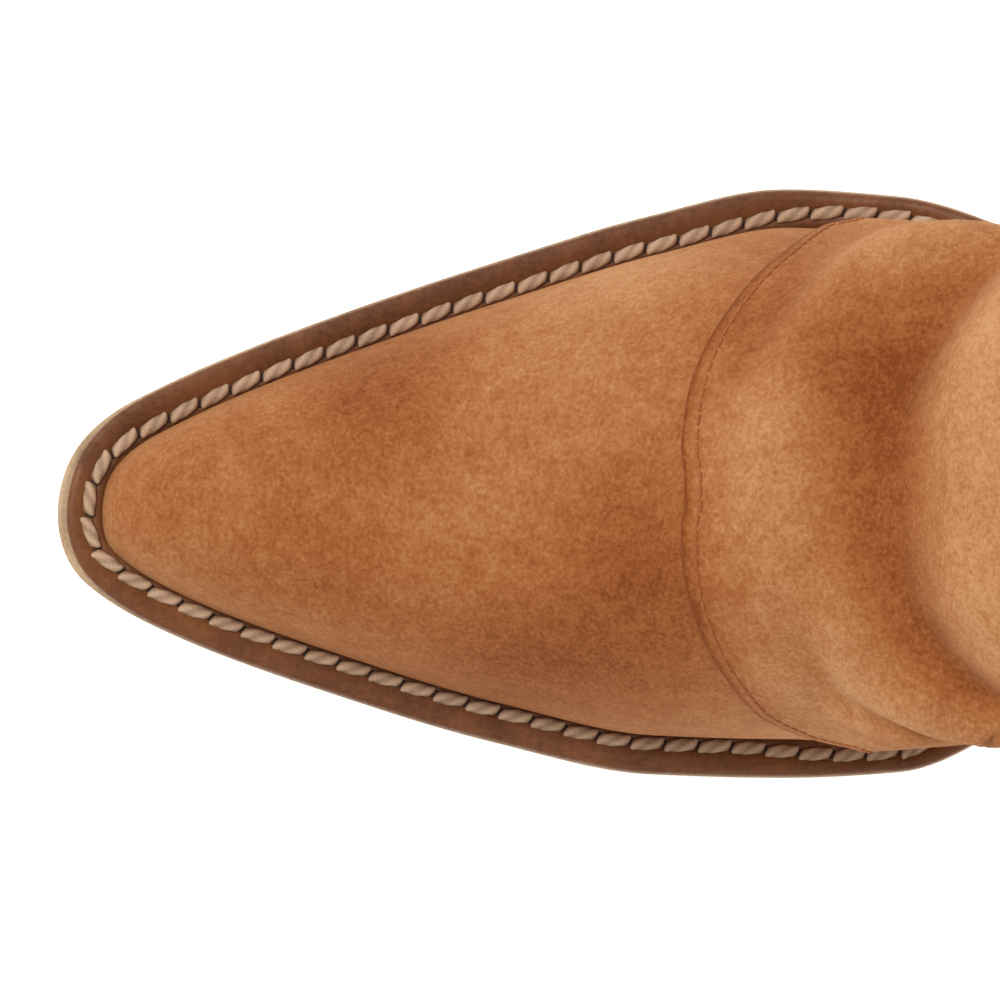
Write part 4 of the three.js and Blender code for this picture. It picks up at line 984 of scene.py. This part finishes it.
def build_heel():
    heel_slab("heel_cap_rubber", 0.0, CAP_TOP, RUBBER, "heel_cap", "heel_rubber")
    pitch = (STACK_TOP - STACK_BOTTOM) / LIFTS
    for k in range(LIFTS):
        low = STACK_TOP - (k + 1) * pitch
        heel_slab(f"heel_lift_leather_{k + 1}", low, low + pitch - 0.06, STACK, f"heel_lift_{k + 1}",
                  "stacked_leather")
    heel_slab("heel_wedge_leather", STACK_TOP, float(SEAT[0]), STACK, "heel_wedge_lift", "stacked_leather",
              True)


def build_cap_nails():
    """Five brass nails in the heel cap: a domed head with a rounded rim on a straight shank."""
    profile = np.array([(0.02, 0.12), (0.9, 0.14), (1.45, 0.3), (1.8, 0.6), (1.8, 1.2), (0.9, 1.35),
                        (0.9, 12), (0.05, 14)])
    radius, rise = profile[:, :1], profile[:, 1:] + 0.3
    angle = np.linspace(0, 2 * PI, 28, endpoint=False)[None]
    for k in range(5):
        low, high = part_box(f"heel_cap_nail_{k + 1}")
        x, y = (low.x + high.x) / 2 * 1000, (low.y + high.y) / 2 * 1000 + LENGTH / 2
        loops = xyz(x + radius * np.cos(angle), y + radius * np.sin(angle), rise)
        ride(tube(f"heel_nail_brass_{k + 1}", loops, BRASS), f"heel_cap_nail_{k + 1}", slot="brass_nail")


build_vamp()
build_shaft()
build_lining()
build_counter_cover()
build_binding()
for sign, label in ((1, "medial"), (-1, "lateral")):
    build_piping(sign, label)
    build_strap(sign, label)
build_seam_threads()
build_sole()
build_welt_stitching()
build_heel()
build_cap_nails()


# ---- Stage, lights and camera ----------------------------------------------------------------
def build_stage():
    """A white floor that glows a little, so that it stays plain under the lights."""
    corners = np.array([[-4, -4, 0], [4, -4, 0], [4, 4, 0], [-4, 4, 0]]) * 1000.0 + [0, LENGTH / 2, -0.05]
    material, _, principled, _ = new_material("floor")
    principled.inputs["Base Color"].default_value = (0.8, 0.8, 0.8, 1)
    principled.inputs["Roughness"].default_value = 0.9
    principled.inputs["Emission Color"].default_value = (1, 1, 1, 1)
    principled.inputs["Emission Strength"].default_value = 0.7
    make_object("floor", corners, [[0, 1, 2, 3]], material)


def area_light(name, place, target, size, power):
    light = bpy.data.lights.new(name, "AREA")
    light.shape = "DISK"
    light.size = size
    light.energy = power
    lamp = bpy.data.objects.new(name, light)
    bpy.context.scene.collection.objects.link(lamp)
    lamp.location = place
    lamp.rotation_euler = (Vector(target) - Vector(place)).to_track_quat("-Z", "Y").to_euler()


build_stage()
world = bpy.data.worlds.new("studio")
world.use_nodes = True
world.node_tree.nodes["Background"].inputs["Color"].default_value = (1, 1, 1, 1)
world.node_tree.nodes["Background"].inputs["Strength"].default_value = 0.46
bpy.context.scene.world = world
area_light("key", (-0.5, -0.6, 1.25), (0, -0.05, 0.05), 0.5, 14)
area_light("fill", (0.9, 0.2, 1.1), (0, -0.03, 0.05), 1.0, 3)
bpy.context.scene.view_settings.view_transform = "Standard"

HEIGHT, WELT_HEIGHT, SEEN_WIDTH, SENSOR = 0.95, 0.007, 0.16667, 36.0
camera_data = bpy.data.cameras.new("camera")
camera_data.sensor_width = SENSOR
camera_data.lens = SENSOR * (HEIGHT - WELT_HEIGHT) / SEEN_WIDTH
camera = bpy.data.objects.new("camera", camera_data)
camera.location = (0.0025, -0.0727, HEIGHT)
camera.rotation_euler = (0, 0, PI / 2)
bpy.context.scene.collection.objects.link(camera)
bpy.context.scene.camera = camera
